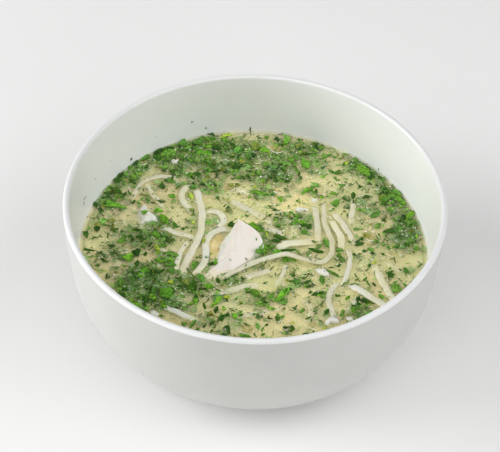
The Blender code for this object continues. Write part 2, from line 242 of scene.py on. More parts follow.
# Larger leaf pieces: x, y, length, width, direction and outline
LEAVES = {
    "lime": [
        (-53, 42.5, 2, 1.1, -20, "oval"), (-29, 29, 3.4, 1.9, -75, "oval"),
        (-14.5, 71, 6, 1.8, 25, "strip"), (0, 36.8, 2.3, 1.2, 10, "chip"),
        (-63, 28, 2, 1, 0, "chip"), (-42, -4, 5.2, 1.9, -62, "strip"),
        (-27.2, 12.4, 2.6, 1.9, -60, "chip"), (-10.5, -31, 2.8, 1.2, 10, "strip"),
        (-62.8, -18.7, 1.6, 1.3, 0, "chip"), (17, -43.5, 1.4, 1.8, 70, "chip"),
        (52.3, -8, 2.6, 1, 40, "strip"), (42, 54.6, 3, 1.8, 20, "chip"),
        (30, -46, 2, 1.3, 20, "chip"), (-21.8, 1, 3.6, 0.9, 80, "strip"),
        (-34.5, -23.5, 2.8, 1.8, -20, "chip"), (5.4, 6.2, 4, 0.9, -85, "strip"),
    ],
    "bright": [
        (1, 32.6, 8.4, 3.7, 172, "lobed"), (-62, 21, 9.4, 3.6, -12, "blade"),
        (23, 53, 6.6, 4, -70, "oval"), (24, 36, 9, 3.4, 52, "lobed"),
        (-36, -30, 5.6, 5.8, -50, "oval"), (-14.4, -33, 6, 2.1, 57, "strip"),
        (-42.6, 19.3, 4, 3.4, -8, "blade"), (-48.6, 16.7, 3.2, 2.5, 35, "blade"),
        (-53, -9.6, 5, 4, 60, "blade"), (-42.8, 3.6, 4, 3.4, -35, "blade"),
        (-15.6, -11.6, 5.4, 4.6, 25, "lobed"), (14.2, -8.6, 8.4, 3.2, -3, "lobed"),
        (-37.5, 28.7, 3.3, 2.4, -25, "oval"), (-52.5, 24, 3, 2.8, 0, "lobed"),
        (3.6, 62, 5.2, 3.4, -12, "oval"), (-23.6, 59, 3, 2, 40, "chip"),
        (-30, 53, 5, 3, 30, "lobed"), (3, 40.5, 3.2, 2.4, -20, "lobed"),
        (4.6, 70, 3, 2, -60, "lobed"), (14.6, 69, 4.2, 2.3, 70, "strip"),
        (35.8, 33.5, 2.9, 2, -20, "blade"), (30.7, 31, 2, 1.5, 30, "blade"),
        (31, 45, 6, 2.4, 70, "lobed"), (50, 50, 9, 4.2, -58, "oval"),
        (66, 31, 7, 2.4, -50, "strip"), (70, 21, 6.4, 2.2, 55, "strip"),
        (-7, -41.4, 3.2, 2.8, -85, "blade"), (12.8, -28.2, 8.4, 2.8, 58, "strip"),
        (1.8, 9.9, 9, 3, -36, "blade"),
        (16.5, 20.6, 3.4, 2.6, -50, "lobed"), (42, -36, 4.2, 4, 20, "lobed"),
        (7.8, -36.5, 2.6, 4, 60, "lobed"), (-46, -17, 3.2, 3.8, 80, "oval"),
        (-40, 13.6, 6, 3.2, -58, "oval"), (54, -28, 3, 1.3, -45, "strip"),
        (40, -29, 3, 1.4, 50, "oval"), (-23.6, -34.3, 3.6, 2.2, -80, "blade"),
        (-48, -37, 4, 1.5, -30, "strip"), (-18.4, -25, 4.2, 2.8, -15, "oval"),
    ],
    "mid": [
        (-34.4, 65.6, 5, 4, 75, "blade"), (-41, 57.4, 7, 4.6, 30, "oval"),
        (-52, 54, 6, 2, 50, "strip"), (-58, 47, 4, 2.8, 40, "lobed"),
        (-39, 38.6, 4.8, 2.4, -22, "oval"), (-55.3, 34, 2.2, 1.4, 40, "oval"),
        (-49, 26, 3, 1.4, -30, "lobed"), (-35.4, 34.6, 2.6, 1, 45, "strip"),
        (-26.4, 68, 4.6, 2.8, 72, "oval"), (10, 65.4, 4, 3, 25, "lobed"),
        (-3, 58, 6, 4, 42, "lobed"), (8.6, 59, 4.2, 3, 10, "lobed"),
        (16.4, 55.4, 4.6, 2.4, -70, "oval"), (5, 52, 4, 3, 30, "lobed"),
        (-29, 57, 5.6, 3, 10, "lobed"), (-17, 28.6, 5, 2.6, -62, "lobed"),
        (33, 59, 6, 1.2, 40, "strip"), (37, 58.4, 3.6, 2, -10, "lobed"),
        (46.5, 57.6, 3, 2.8, 90, "blade"), (45, 53, 4.2, 2.8, -30, "lobed"),
        (54, 49, 6, 3.6, -50, "lobed"), (52, 45, 5, 3, -40, "lobed"),
        (60, 36.6, 4.2, 2.5, 10, "lobed"), (64.2, 35.6, 5, 2.4, -42, "strip"),
        (59.4, 32, 7, 3.4, 58, "oval"), (57.4, 28, 4.2, 3.4, 20, "lobed"),
        (37, 28, 5.2, 3.6, 55, "blade"), (53.8, 21.4, 6, 2.4, 45, "strip"),
        (33, 46.6, 2.6, 1, 15, "chip"), (35.4, 48.4, 4, 1.6, -35, "strip"),
        (-48, -3, 4.4, 3, -62, "lobed"), (-57, 0, 5, 3.6, 20, "lobed"),
        (-35.4, 11, 4.6, 2.2, 118, "blade"), (-26.8, 9.2, 3, 2.5, 80, "lobed"),
        (-30, 9, 4, 1.3, 10, "lobed"), (-41.4, -11, 3.2, 3, 70, "lobed"),
        (-37.4, -11, 4, 3, 0, "lobed"), (-34.4, -17, 4, 2.6, -75, "oval"),
        (-31.8, -17, 3.6, 2.4, 80, "lobed"), (-50.4, -22, 4, 3.8, 10, "lobed"),
        (-41, -28.6, 5, 2.4, 80, "oval"), (-49.4, -28, 5, 2.8, 85, "lobed"),
        (-56, -25.4, 3.2, 2.6, -45, "blade"), (-22, -20.6, 4.6, 3, -65, "oval"),
        (-25.2, -13.2, 5, 2.1, 75, "oval"), (-33.4, -8, 2.3, 1.9, 0, "oval"),
        (19.4, 18, 5, 2.4, -32, "lobed"), (31.6, 2.4, 5, 2.8, -75, "oval"),
        (37.6, -1.8, 3.2, 1.8, 5, "blade"), (37, -5, 3.4, 3, -40, "lobed"),
        (45.2, 11.4, 4, 2.9, 85, "lobed"), (51, -0.6, 3, 1.9, -25, "oval"),
        (57, 2.4, 4, 1.9, 15, "lobed"), (62.6, 2, 4, 2, 30, "lobed"),
        (71, 1, 3, 2, 25, "oval"), (55, 14, 4, 2.8, 70, "lobed"),
        (65.8, -13, 9.8, 3, -73, "lobed"), (58.5, -13.8, 4, 0.9, 25, "strip"),
        (34, -15.4, 6.8, 1.3, -35, "strip"), (8.6, -28.6, 9, 3, 55, "lobed"),
        (-2, -26, 2.4, 1.8, 30, "blade"), (5.2, -22.3, 3.2, 1.4, 35, "lobed"),
        (49, -20.5, 6.6, 1.3, -67, "lobed"), (47.6, -18, 2.8, 1.1, 50, "strip"),
        (26.4, -36.6, 4.2, 1.4, 35, "lobed"), (21, -37, 2.9, 1.4, 60, "strip"),
        (37.4, -38, 4, 2.6, 60, "lobed"), (48, -37.4, 3.6, 1.1, 42, "strip"),
        (29.4, -19.6, 5, 2.1, 98, "oval"), (-37, -42.4, 1.9, 1, 0, "oval"),
        (5, -50.6, 3.2, 2.4, -20, "lobed"), (4.7, -47.3, 2.7, 1.4, 65, "lobed"),
        (-9, -49, 4, 1.8, -80, "lobed"), (-2.6, -51, 5, 1.5, -15, "strip"),
        (25.4, -48, 2.2, 1.5, 25, "lobed"), (-22, -48.6, 3.2, 2, 0, "lobed"),
        (2.8, -29.4, 9.4, 4.4, -46, "lobed"), (5.2, -2.4, 6.4, 2, 82, "oval"),
        (-44.4, -39.6, 2.3, 1.5, -30, "lobed"),
        (-24, -46, 5, 1.5, 62, "strip"), (-66, 9, 3, 1.5, -15, "lobed"),
        (17.4, -20.6, 6, 1.9, 0, "lobed"), (47.4, -33.6, 2.6, 1.2, -15, "lobed"),
    ],
    "dark": [
        (-42, 61, 5, 2.8, 30, "lobed"), (-45.4, 59.4, 3, 2.2, 60, "blade"),
        (-47, 58, 3, 2, 40, "lobed"), (-46, 54, 5, 3.6, 40, "oval"),
        (-56, 50, 4, 2, 60, "strip"), (-62, 42, 5, 2.7, 60, "lobed"),
        (-63.4, 38.6, 6, 3.6, 52, "lobed"), (-56, 37.6, 4.2, 1.2, -45, "strip"),
        (-42, 45.3, 3, 2.5, -20, "lobed"), (-54.6, 24, 3.2, 1.1, 70, "strip"),
        (-45.6, 23.7, 2.3, 1.5, -20, "lobed"), (-63, 31, 6, 2.6, -36, "oval"),
        (-65.6, 29.6, 5, 2, 0, "oval"), (-59, 29, 3, 2, 60, "lobed"),
        (-68.4, 26, 3, 2, 20, "lobed"), (-71.6, 22, 3.4, 1.8, -60, "oval"),
        (-66.2, 22.4, 3.6, 2.6, 0, "oval"), (-22, 72.2, 5.4, 2.8, -35, "blade"),
        (-19, 62.6, 5, 2.8, -30, "oval"), (-11.4, 65, 4, 1.8, -50, "oval"),
        (12.2, 49, 3.2, 1.8, -35, "oval"), (-9, 49.5, 8, 4.4, 15, "lobed"),
        (-18, 46.4, 5, 2.4, 10, "lobed"), (-13.6, 45.6, 4, 2, -20, "lobed"),
        (-3, 42.6, 3.6, 1.5, -50, "lobed"), (-2.5, 40.4, 1.5, 1.3, 0, "chip"),
        (-10, 41.5, 2.6, 1, 20, "blade"), (-29, 41.5, 3, 1, -50, "strip"),
        (-24, 37, 5, 2.6, -30, "lobed"), (-28, 37.6, 2.2, 2, 0, "lobed"),
        (-18.4, 37, 3, 1.5, -60, "lobed"), (10, 70, 3.6, 2.8, 20, "lobed"),
        (15, 41.4, 3.6, 2.6, 40, "lobed"), (9.6, 21.9, 2.9, 2.3, 10, "lobed"),
        (22, 60, 4, 1.5, 0, "lobed"), (28, 66.4, 4.4, 2.6, 10, "lobed"),
        (20, 46, 3, 0.7, 75, "strip"), (44.6, 32.9, 4.2, 2, 84, "oval"),
        (50.4, 32, 4, 1.2, 20, "strip"), (60.6, 11.2, 6.2, 2.8, 8, "oval"),
        (57.8, 17.6, 4.2, 3.4, 70, "lobed"), (66.8, 3, 4.6, 3, -65, "lobed"),
        (46.2, 2.4, 4.2, 1.9, 25, "oval"), (47.4, 6, 2.6, 1.8, 75, "blade"),
        (47.8, 15, 2.2, 1.2, 60, "lobed"), (48, -1.8, 3.2, 2, 20, "lobed"),
        (56.2, -3, 3.6, 1.6, -50, "lobed"), (27.2, -2.3, 6.8, 1.8, -20, "strip"),
        (37.2, -10.6, 2.1, 1.5, 50, "blade"), (37, -13.6, 1.3, 0.9, 80, "chip"),
        (33.6, -12, 2.2, 1, 10, "chip"), (50.2, -10, 3, 2.3, 30, "lobed"),
        (48.5, -13, 2.2, 1, 20, "lobed"), (22, 13, 5, 3, 0, "lobed"),
        (24.4, 12, 3, 2.6, 70, "lobed"), (-69, 6.6, 3.4, 2.7, 85, "oval"),
        (-73.4, 2.6, 4, 2.5, -70, "blade"), (-51.4, 6.6, 3, 1.1, 0, "strip"),
        (-50, 2.4, 3.8, 2.8, -20, "lobed"), (-52.6, 0.6, 3, 1.8, -40, "lobed"),
        (-44, 5.6, 3, 1.6, -20, "lobed"), (-48, 1, 2.6, 0.8, 50, "strip"),
        (-46.4, -7.5, 2.5, 1.8, 70, "blade"), (-34, -12.6, 1.4, 1.2, 0, "chip"),
        (-41.5, -17.6, 3, 2.8, 0, "lobed"), (-58.4, -19, 2.2, 1.4, 80, "lobed"),
        (-61.7, -21, 2.3, 0.8, 80, "strip"), (-53, -28, 3, 2.8, 20, "lobed"),
        (-42.7, -28, 4.2, 0.7, 85, "strip"), (-54, -31.6, 4, 3, -30, "lobed"),
        (-33.8, -28.3, 3, 1.7, -50, "strip"), (-25, -24.2, 6.8, 4, 84, "blade"),
        (-30, -25.3, 5.2, 1, -5, "strip"), (-23.4, -31, 3, 2.3, 90, "blade"),
        (-14.6, -21.6, 3, 1.6, -70, "oval"), (-21, -26.6, 4, 2.6, 0, "lobed"),
        (-11.6, -41.8, 5.2, 3, 38, "lobed"), (-14.6, -38, 3.6, 1.3, 75, "strip"),
        (-4.3, -40.5, 2.2, 0.9, 35, "strip"), (-1.6, -27.7, 2.2, 1, 10, "oval"),
        (14.6, -26.6, 5, 1.2, 62, "strip"),
        (5.6, -32.8, 3.6, 1.7, -20, "lobed"), (17.4, -16.6, 4.8, 1.9, 85, "lobed"),
        (7, -40.6, 2.6, 1.1, 80, "lobed"), (6.6, -45.2, 2.2, 1.6, 20, "lobed"),
        (13.8, -46.2, 3, 1.7, 10, "lobed"), (27, -27.6, 4.2, 2.2, 20, "lobed"),
        (35.6, -28, 3.2, 2.4, 0, "lobed"), (44.6, -28.6, 4, 2.6, 70, "lobed"),
        (48.2, -31, 5.4, 2.2, -20, "blade"), (31, -37, 3.2, 1.6, 60, "oval"),
        (22.6, -49, 3, 1.2, 10, "lobed"), (-10, 12.2, 3.6, 3, 80, "blade"),
        (11.2, 5.2, 5.4, 1.9, -18, "strip"), (9.9, 2.8, 6.4, 3.2, -13, "lobed"),
        (14.6, -2.7, 7, 1.1, 3, "strip"), (9, 16.2, 4.4, 1.4, 85, "lobed"),
        (7, 18.6, 3, 1.8, 50, "lobed"), (-18, -12, 2.6, 1.5, 30, "strip"),
        (26.2, 3.1, 1.9, 1.1, -40, "chip"), (41.5, 20, 2.6, 0.9, 85, "chip"),
        (42.2, 3.4, 2.2, 1.4, -30, "lobed"), (-70.5, -6.6, 5.4, 1.2, -8, "blade"),
        (51.6, -20.8, 2.4, 0.8, -60, "strip"),
    ],
    "grey": [
        (-39, 63.6, 5.4, 4.4, 80, "blade"), (-59, 37, 5, 3.6, 30, "oval"),
        (-55, 46, 8, 5, 50, "oval"), (-60, 26.4, 6, 3, -10, "blade"),
        (-8, 70.6, 3.8, 2.8, 20, "lobed"), (-14, 62, 6.4, 5, 10, "oval"),
        (2, 66.4, 5, 4, -20, "oval"), (12, 56.8, 5, 4, 20, "lobed"),
        (-15, 49, 5, 4, 0, "oval"), (10, 39.4, 5.2, 3.6, -5, "lobed"),
        (27, 62.6, 4.4, 3.2, -10, "lobed"), (27, 57, 6, 4, 10, "oval"),
        (38, 54, 4, 2.4, 10, "lobed"), (19.8, 42.4, 3.6, 3, 90, "blade"),
        (49, 29.6, 6.2, 5.2, 25, "lobed"), (58, 43, 7.4, 4, -55, "lobed"),
        (62, 24, 5, 5, 0, "oval"), (65, 9, 9, 7, 80, "lobed"), (69, 16, 7.4, 4, 80, "lobed"),
        (-64.4, 15, 4.2, 4, 20, "lobed"), (-57, 3, 5.4, 3.6, 110, "blade"),
        (-53.4, 8.4, 3.6, 2, 0, "lobed"), (-52, -1.5, 3.4, 2, -30, "oval"),
        (-44, 12.2, 7.4, 4.4, 10, "oval"), (-17, 14.6, 5.2, 2.8, -60, "oval"),
        (-23, 33.6, 5, 2.4, -10, "oval"), (-47, -18, 13, 4.6, -3, "lobed"),
        (-46, -24, 8, 5, 60, "oval"), (-9, -21, 6.4, 5, 20, "lobed"),
        (-34, -26, 6, 5, 0, "oval"), (2.4, -4.2, 5, 2, -80, "oval"),
        (52.2, -2.5, 2.8, 2, -20, "oval"), (21, -21, 4.2, 3, 0, "lobed"),
        (-21, -45, 4, 2.8, 20, "lobed"), (44.6, -37.4, 4, 2.8, 0, "lobed"),
        (-72, -10.5, 6, 1.8, -62, "oval"), (-69.9, -14.4, 6, 1.4, -60, "oval"),
        (-33, -34, 8, 6, -20, "oval"), (2, -36.4, 3.6, 1.8, 10, "chip"),
        (9.4, 12.8, 3, 2, -20, "lobed"), (7.4, 3.4, 2, 3, 70, "oval"),
    ],
}

# A leaf that hangs over the chicken's edge: x, y, rise, length, width and direction
EDGE_LEAF = (3.2, -5.4, 2.7, 8.6, 6.0, 62)

# Dill threads seen one by one: start, end, sideways bow
DILL = [
    (-52.4, 29.8, -47.8, 28.2, 0.1), (-66, 27.8, -60, 22.4, 0.3), (-2.8, 76, -2.6, 71.8, 0.2),
    (-0.4, 71, 1.2, 72, 0), (-22, 21.4, -18.6, 23, 0.1), (-14, 20, -8.6, 23, 0.3),
    (-12, 21.4, -13.4, 19.2, 0), (2.8, 15, 6.6, 19.6, 0.2), (6, 25, 8.8, 21.8, 0.1),
    (6, 34.4, 9, 30.4, 0.1), (-24.6, 61.4, -24.2, 66, 0.2), (-1.8, 47.4, 0.4, 44.8, 0.3),
    (-19, 41.4, -17.6, 44, 0.1), (-41, 31, -40.2, 34, 0.3), (-38.4, 47, -33.6, 48.6, 0.8),
    (18, 67.6, 19.6, 62.6, 0.2), (19.6, 62.6, 23.4, 64.4, -0.6), (9.6, 73, 12.6, 74.4, 0.1),
    (42.6, 49.4, 45.4, 47, 0.1), (34.8, 42, 33, 39.6, 0.2), (48.4, 36, 50, 38.6, 0),
    (29, 25.4, 30.4, 27.4, 0), (44.4, 30.6, 44.6, 27.8, 0), (60.4, 20.2, 62, 22.6, 0),
    (57.4, 21.8, 59.4, 19.4, 0), (53.6, 8.6, 55.2, 5, 0.1), (56.4, 4.6, 58.6, 8.8, 0.1),
    (61, -4.2, 61.4, -8.6, 0.1), (58.8, -6, 61.2, -5.4, 0.1), (70.4, -10.4, 73.2, -7.6, 0.1),
    (71, -6.6, 72.4, -8.4, 0), (61.8, -16.8, 63.4, -18.8, 0), (43.4, -14.8, 44.6, -17.8, 0.1),
    (44.6, -17.6, 43.4, -20, 0.1), (44.6, -17.4, 45.6, -20, 0.1), (41, -21.8, 43.4, -20.8, 0),
    (37.2, -22.8, 39, -21.2, 0), (40.2, -19.4, 41.4, -18.6, 0), (21.4, -19.4, 24, -15.6, 0.2),
    (24, -15.6, 21.4, -16.6, -0.3), (24, -15.6, 26, -17.2, 0.3), (24.4, -20, 27, -22.6, 0.3),
    (25.4, -36, 28, -33.6, 0.1), (28, -33.6, 30, -30.6, 0.2), (24.6, -41, 24.6, -43, 0),
    (27.2, -41.4, 29.4, -42.2, 0.2), (18.6, -33.6, 18.4, -35.4, 0), (16.8, -12.2, 18.4, -15, 0.1),
    (7.2, -15, 8.8, -12, 0.1), (2.6, -12.2, 4.8, -11.8, 0.3), (4.8, -12, 6, -10.4, 0),
    (9.6, -16, 9.8, -18, 0.1), (10, -18.4, 11.8, -15.6, 0.1), (14, -14, 15, -12.4, 0),
    (-27.6, 7.8, -27.4, 6, 0), (-28, 0.6, -27, 2, 0), (-27.2, 21, -26.8, 17, 0.2),
    (-37.4, 22, -36.4, 20.4, 0.1), (-34.4, 15.6, -33.8, 16.8, 0), (-69.6, 20.4, -66.8, 14.6, 0.3),
    (-70, 14.6, -68.4, 12, 0.1), (-72.8, 13, -70.6, 13.2, 0.2), (-70.2, -1, -68, 1.6, -0.5),
    (-68, 1.6, -66.8, 3, 0), (-67.4, 1, -65.8, 1.4, -0.6), (-62.8, 9.4, -61.4, 6.2, 0.2),
    (-62, 10.6, -61.6, 7.4, 0.1), (-64, 3.4, -63.6, 0.8, 0.1), (-53.6, -3.4, -52.6, -5, 0),
    (-68.8, -14.4, -65.2, -18.2, 0.5), (-67.4, -8.4, -66.6, -11, 0.2), (-66.8, -11, -67.6, -13.4, 0),
    (-43.8, -3.4, -45, -5.2, 0), (-28.4, -14.6, -26.4, -17, 0.3), (-19.8, -30, -20.6, -34.6, -0.9),
    (-15.6, -26.4, -12.8, -27.8, 0), (-9.4, -36.8, -6.2, -37.4, 0.7), (-13.8, -45, -14.6, -48, 0.3),
    (-16, -49.6, -12, -48.8, 0.2), (4.2, -39.6, 4.4, -41.6, 0), (-3.4, -44.6, -1.6, -45.2, 0),
    (1, -49.6, 2.4, -52, 0.1), (-7.2, -50.4, -6, -52.4, 0), (-28.4, -45, -27.2, -47.4, 0.3),
    (14, -48.4, 16.6, -50, 0.2), (-38.6, -34.6, -41.4, -37.6, 0.9), (-38, -36, -40.4, -38.4, 0.5),
    (-3.4, -9.4, -2.6, -10.6, 0), (34.6, -6.4, 36.2, -8, 0), (37, -6.4, 38.6, -9.2, 0.1),
    (23.8, -9, 25, -10.8, 0), (26.2, -11, 26.8, -9.8, 0), (10.8, 12.4, 12.6, 9.4, 0.2),
    (-5, 14.8, -0.6, 10.8, 0.2), (-57, 28.6, -57.8, 32, 0.1), (-46.6, 29, -45.8, 30.4, 0),
    (-50.6, 31, -51.2, 33.4, 0.1), (46, 42.8, 47, 40.6, 0), (40.6, 37, 39.4, 35.2, 0),
    (32, 34, 33, 35.4, 0), (31.6, 31, 33.4, 32.4, 0), (20.2, 25.4, 19.6, 30.4, 0.1),
]
# Feathery dill tips: x, y, size, number of threads, direction
FRONDS = [
    (-60.4, -8, 5.2, 22, 30), (-64.2, -9.6, 3.6, 9, -70), (-37, 0.6, 5, 24, 60),
    (7, 44, 6, 24, -40), (-9, -17.6, 4.6, 16, 30), (-18, 43.4, 5, 12, 70),
    (-26.6, 44.4, 5.4, 12, 60), (-68.6, 18.6, 4, 12, -60), (22.4, 13.4, 5, 16, 20),
    (-17, 9.4, 3, 7, 20), (-24, -8.6, 3.6, 10, 30), (57.6, 18, 4, 12, 70),
    (-33, -35, 2.6, 9, 60), (-16.4, -45.6, 4, 12, 70), (-4, -21, 3.6, 8, 80),
    (-51, -18.6, 6, 16, 0), (-43, -18.6, 5, 12, 30), (2, 11.6, 5, 14, -40),
    (64, 8, 6, 16, 60), (-31.6, -21, 3.4, 9, 0), (0.6, 29.2, 2.4, 6, -60),
    (-12, 51, 5, 12, 20), (-56, -31, 4, 12, 40), (52, 41, 3, 8, 30),
]
# Crowded parts of the surface: x, y, half length, half width, direction, crowding
CLUMPS = [
    (-32, 59, 19, 9, 24, 1.0), (-10, 60.5, 16, 8.5, 0, 0.9), (10, 52, 9, 12, 10, 0.9),
    (-14, 49, 12, 4.5, 0, 0.8), (20, 62, 12, 6, -8, 0.7), (-57, 45, 13, 5.5, 52, 1.0),
    (-66, 27, 9, 6.5, 62, 0.8), (-24, 41, 9, 5.5, 0, 0.4), (51, 51, 12, 5.5, -42, 0.85),
    (61.5, 34, 12, 5, -66, 0.9), (67.5, 12, 13, 6, 88, 1.0), (-50.5, 4, 9, 7, -10, 0.8),
    (-41, 11, 7, 5, 0, 0.7), (-36, -10, 7, 4.5, 0, 0.6), (-46, -23, 12, 11, 0, 1.0),
    (-28, -24, 9, 7, 0, 0.9), (-11, -21, 8, 5, 0, 0.5), (-50, -31, 9, 6, -38, 1.0),
    (-67, 8, 7, 9, 90, 0.3), (21, 16, 7, 6, -20, 0.6), (5, 4, 4, 8, 0, 0.5),
    (8, -29, 9, 5, 20, 0.4), (-14, -42, 11, 7, 0, 0.35), (44, -35, 7, 5, 0, 0.5),
    (38, -5, 5, 6, 0, 0.35), (18, -18, 6, 5, 0, 0.4), (46, -25, 6, 6, 0, 0.2),
    (-62, -9, 9, 6, 0, 0.35), (30, 46, 8, 11, 0, 0.12), (48, 8, 6, 8, 0, 0.2),
    (-20, 36, 5, 5, 0, 0.6), (-1, 44.5, 9, 4, 0, 0.75), (5, 43, 5, 7, 0, 0.6),
    (-20, 52, 9, 6, 0, 0.9), (17, 66, 11, 4, -14, 0.8), (-62, 12, 10, 7, 80, 0.25),
    (-42, 3, 10, 5, 0, 0.7), (4, -2, 5, 6, 0, 0.6), (12, 2, 5, 6, 0, 0.5),
    (-36, -35, 11, 4, -10, 0.75), (-18, -29, 8, 4, 0, 0.35), (61, 5, 6, 6, 0, 0.35),
    (28, 52, 8, 6, 0, 0.35), (50, 27, 7, 5, 0, 0.5),
    (-57, -6, 9, 6, 0, 0.5), (22, -20, 4, 4, 0, 0.5), (12, 16, 5, 6, 0, 0.45),
    (-40, -52, 14, 6, -40, 0.5), (30, -58, 16, 5, 20, 0.4), (0, -63, 16, 5, 0, 0.35),
    (-36, 45, 5, 4, 0, 0.8), (-28, 40, 5, 5, 0, 0.6), (12, -4, 12, 4, 0, 0.5),
    (-21, -12, 4, 4, 0, 0.5), (-14, -50, 6, 3, 0, 0.35), (-28, 12, 4, 4, 0, 0.35),
    (4, 34, 6, 5, 0, 0.5), (-2, 53, 6, 4, 0, 0.7), (-18, 69, 6, 4, -10, 0.6), (28, 66, 5, 4, 0, 0.7),
]
# Parts clear of herbs: x, y, half length, half width, direction
CLEARINGS = [(-15.5, -16.5, 6, 3.6, 40), (-16, 1, 7, 3.4, 75)]
# Parts where the herbs are mostly feathery dill: x, y, half length, half width, direction
FEATHERY = [
    (-47, -21, 11, 8, 0), (-44, 9, 7, 4, 0), (-61, -9, 5, 4, 0), (-15, 58, 9, 6, 0),
    (-32, 50, 7, 4, 0), (8, 47, 7, 6, 0), (66, 9, 9, 7, 90), (61, 22, 5, 4, 0),
    (-31, -29, 7, 5, 0), (-9, -20, 5, 3, 0),
]

# Small bits: how many, how strongly they keep to the crowded parts, and how far from the wall
LOOSE_LEAVES = (1650, 0.95, 1.5)
CRUMBS = (900, 0.4, 1.5)
FINE_THREADS = (2600, 1.1, 1.5)
STRAY_THREADS = (700, 0.3, 1.5)
SUNK_LEAVES = (1700, 1.1, 1.0)
SUNK_THREADS = (420, 0.6, 1.5)
SMALL_FAT = (70, 0.5, 3)
FROTH = (950, 0.35, 1.2)
DROP_RIMS = (240, 0.3, 2)

# How high the larger leaves, threads and fronds lie, and how deep grey leaves and fronds reach
LEAF_RISE = 0.32
LEAF_DEPTH = 0.45
DILL_RISE = 0.15
FROND_RISE = 0.1
FROND_DEPTH = 0.5
# Thickness of dill threads, of those in fronds and of those that sank
DILL_THREAD = 0.55
FROND_THREAD = 0.4
SUNK_THREAD = 0.45
# Lengths between which the loose leaves stay
SHORTEST_LEAF = 0.9
LONGEST_LEAF = 5.4
# Heights of noodle or chicken up to which the broth still counts as open, by what floats there
OPEN_HEIGHT = 0.02
FAT_HEIGHT = 0.05
CRUMB_HEIGHT = 0.1
# Domes of fat and froth, and the half thickness of the rims that are painted bright as highlights
FAT_RISE = 0.28
SMALL_FAT_RISE = 0.2
FAT_SINK = 0.05
FROTH_RISE = 0.7                     # for each millimetre of radius
FROTH_SINK = 0.02
FAT_RIM = 0.22
DROP_RIM = 0.18

# Bits stuck to the inner wall: direction, height over the broth, length, width, turn and tone
WALL_BITS = [
    (139.4, 2.9, 2.0, 1.5, 80, "dried"), (167.6, 8.9, 3.2, 0.7, 75, "dried"),
    (168.8, 7.4, 2.2, 0.6, 100, "dried"), (127.9, 7.5, 1.0, 0.5, 60, "olive"),
    (113.7, 8.8, 1.8, 1.0, 30, "dried"), (108.6, 3.6, 1.7, 1.3, 70, "dried"),
    (158.5, 9.8, 1.0, 0.5, 60, "olive"), (149.0, 10.5, 0.8, 0.5, 0, "olive"),
    (41.5, 0.9, 1.4, 1.0, 70, "mid"), (92.5, 1.0, 3.4, 0.8, 85, "dark"),
    (-64, 5, 1.2, 0.7, 20, "dark"), (-110, 3, 1.5, 0.6, 70, "mid"),
]

# Rounds of clear fat on the surface: x, y and radius
FAT = [
    (-12, 36, 2.6), (-2, -47.5, 2.7), (60.2, -2.5, 1.8), (51.5, 6.8, 2.2), (10, 63.6, 3.4),
    (-26, -45.6, 2.2), (-53, 51, 2.4), (-46.6, 54, 1.9), (33.3, 20, 1.2), (50.3, 18.4, 1.6),
    (-33.4, 57.6, 1.3), (64.4, -2.2, 1.1), (-26, 46.6, 1.3), (38.4, 42.6, 1.4), (9.6, 35, 1.6),
    (-5, 29.6, 1.8), (-58, -19, 1.4), (25, -44.6, 1.7), (40, 60, 1.2), (-13, 27, 1.5),
]


# ---------------------------------------------------------------- colours and materials

def linear(red, green, blue):
    """A display colour of 0 to 255 as a linear colour."""
    def channel(value):
        value = value / 255
        return value / 12.92 if value <= 0.04045 else ((value + 0.055) / 1.055) ** 2.4
    return (channel(red), channel(green), channel(blue), 1.0)


class Shader:
    """A material's node tree with one Principled shader, and helpers to feed it."""

    def __init__(self, name, **values):
        self.material = bpy.data.materials.new(name)
        self.material.use_nodes = True
        self.tree = self.material.node_tree
        self.principled = self.tree.nodes["Principled BSDF"]
        for key, value in values.items():
            self.principled.inputs[key.replace("_", " ")].default_value = value

    def node(self, kind, **values):
        made = self.tree.nodes.new(kind)
        for key, value in values.items():
            setattr(made, key, value)
        return made

    def link(self, source, target):
        self.tree.links.new(source, target)

    def noise(self, scale, detail=3.0, stretch=(1, 1, 1), roughness=0.55):
        """Noise over object space, with scale in features per metre."""
        place = self.node("ShaderNodeTexCoord")
        mapping = self.node("ShaderNodeMapping")
        mapping.inputs["Scale"].default_value = stretch
        texture = self.node("ShaderNodeTexNoise")
        texture.inputs["Scale"].default_value = scale
        texture.inputs["Detail"].default_value = detail
        texture.inputs["Roughness"].default_value = roughness
        self.link(place.outputs["Object"], mapping.inputs["Vector"])
        self.link(mapping.outputs["Vector"], texture.inputs["Vector"])
        return texture.outputs["Fac"]

    def ramp(self, factor, *stops, display=True):
        """A ramp from (position, red, green, blue) stops: display colours, or plain factors."""
        ramp = self.node("ShaderNodeValToRGB")
        elements = ramp.color_ramp.elements
        while len(elements) < len(stops):
            elements.new(0.5)
        for element, (position, *color) in zip(elements, stops):
            element.position = position
            element.color = linear(*color) if display else (*color, 1)
        self.link(factor, ramp.inputs["Fac"])
        return ramp.outputs["Color"]

    def mix(self, factor, first, second, blend="MIX"):
        """Mix two colours. Each argument is a socket or a value."""
        made = self.node("ShaderNodeMix", data_type="RGBA", blend_type=blend)
        colors = [s for s in made.inputs if s.type == "RGBA"]
        self.feed(factor, made.inputs[0])
        self.feed(first, colors[0])
        self.feed(second, colors[1])
        return [s for s in made.outputs if s.type == "RGBA"][0]

    def feed(self, value, target):
        if isinstance(value, bpy.types.NodeSocket):
            self.link(value, target)
        else:
            target.default_value = value

    def color(self, source):
        self.link(source, self.principled.inputs["Base Color"])

    def bump(self, height, strength, distance):
        bump = self.node("ShaderNodeBump")
        bump.inputs["Strength"].default_value = strength
        bump.inputs["Distance"].default_value = distance
        self.link(height, bump.inputs["Height"])
        self.link(bump.outputs["Normal"], self.principled.inputs["Normal"])

    def attribute(self, name, output="Color"):
        return self.node("ShaderNodeAttribute", attribute_name=name).outputs[output]


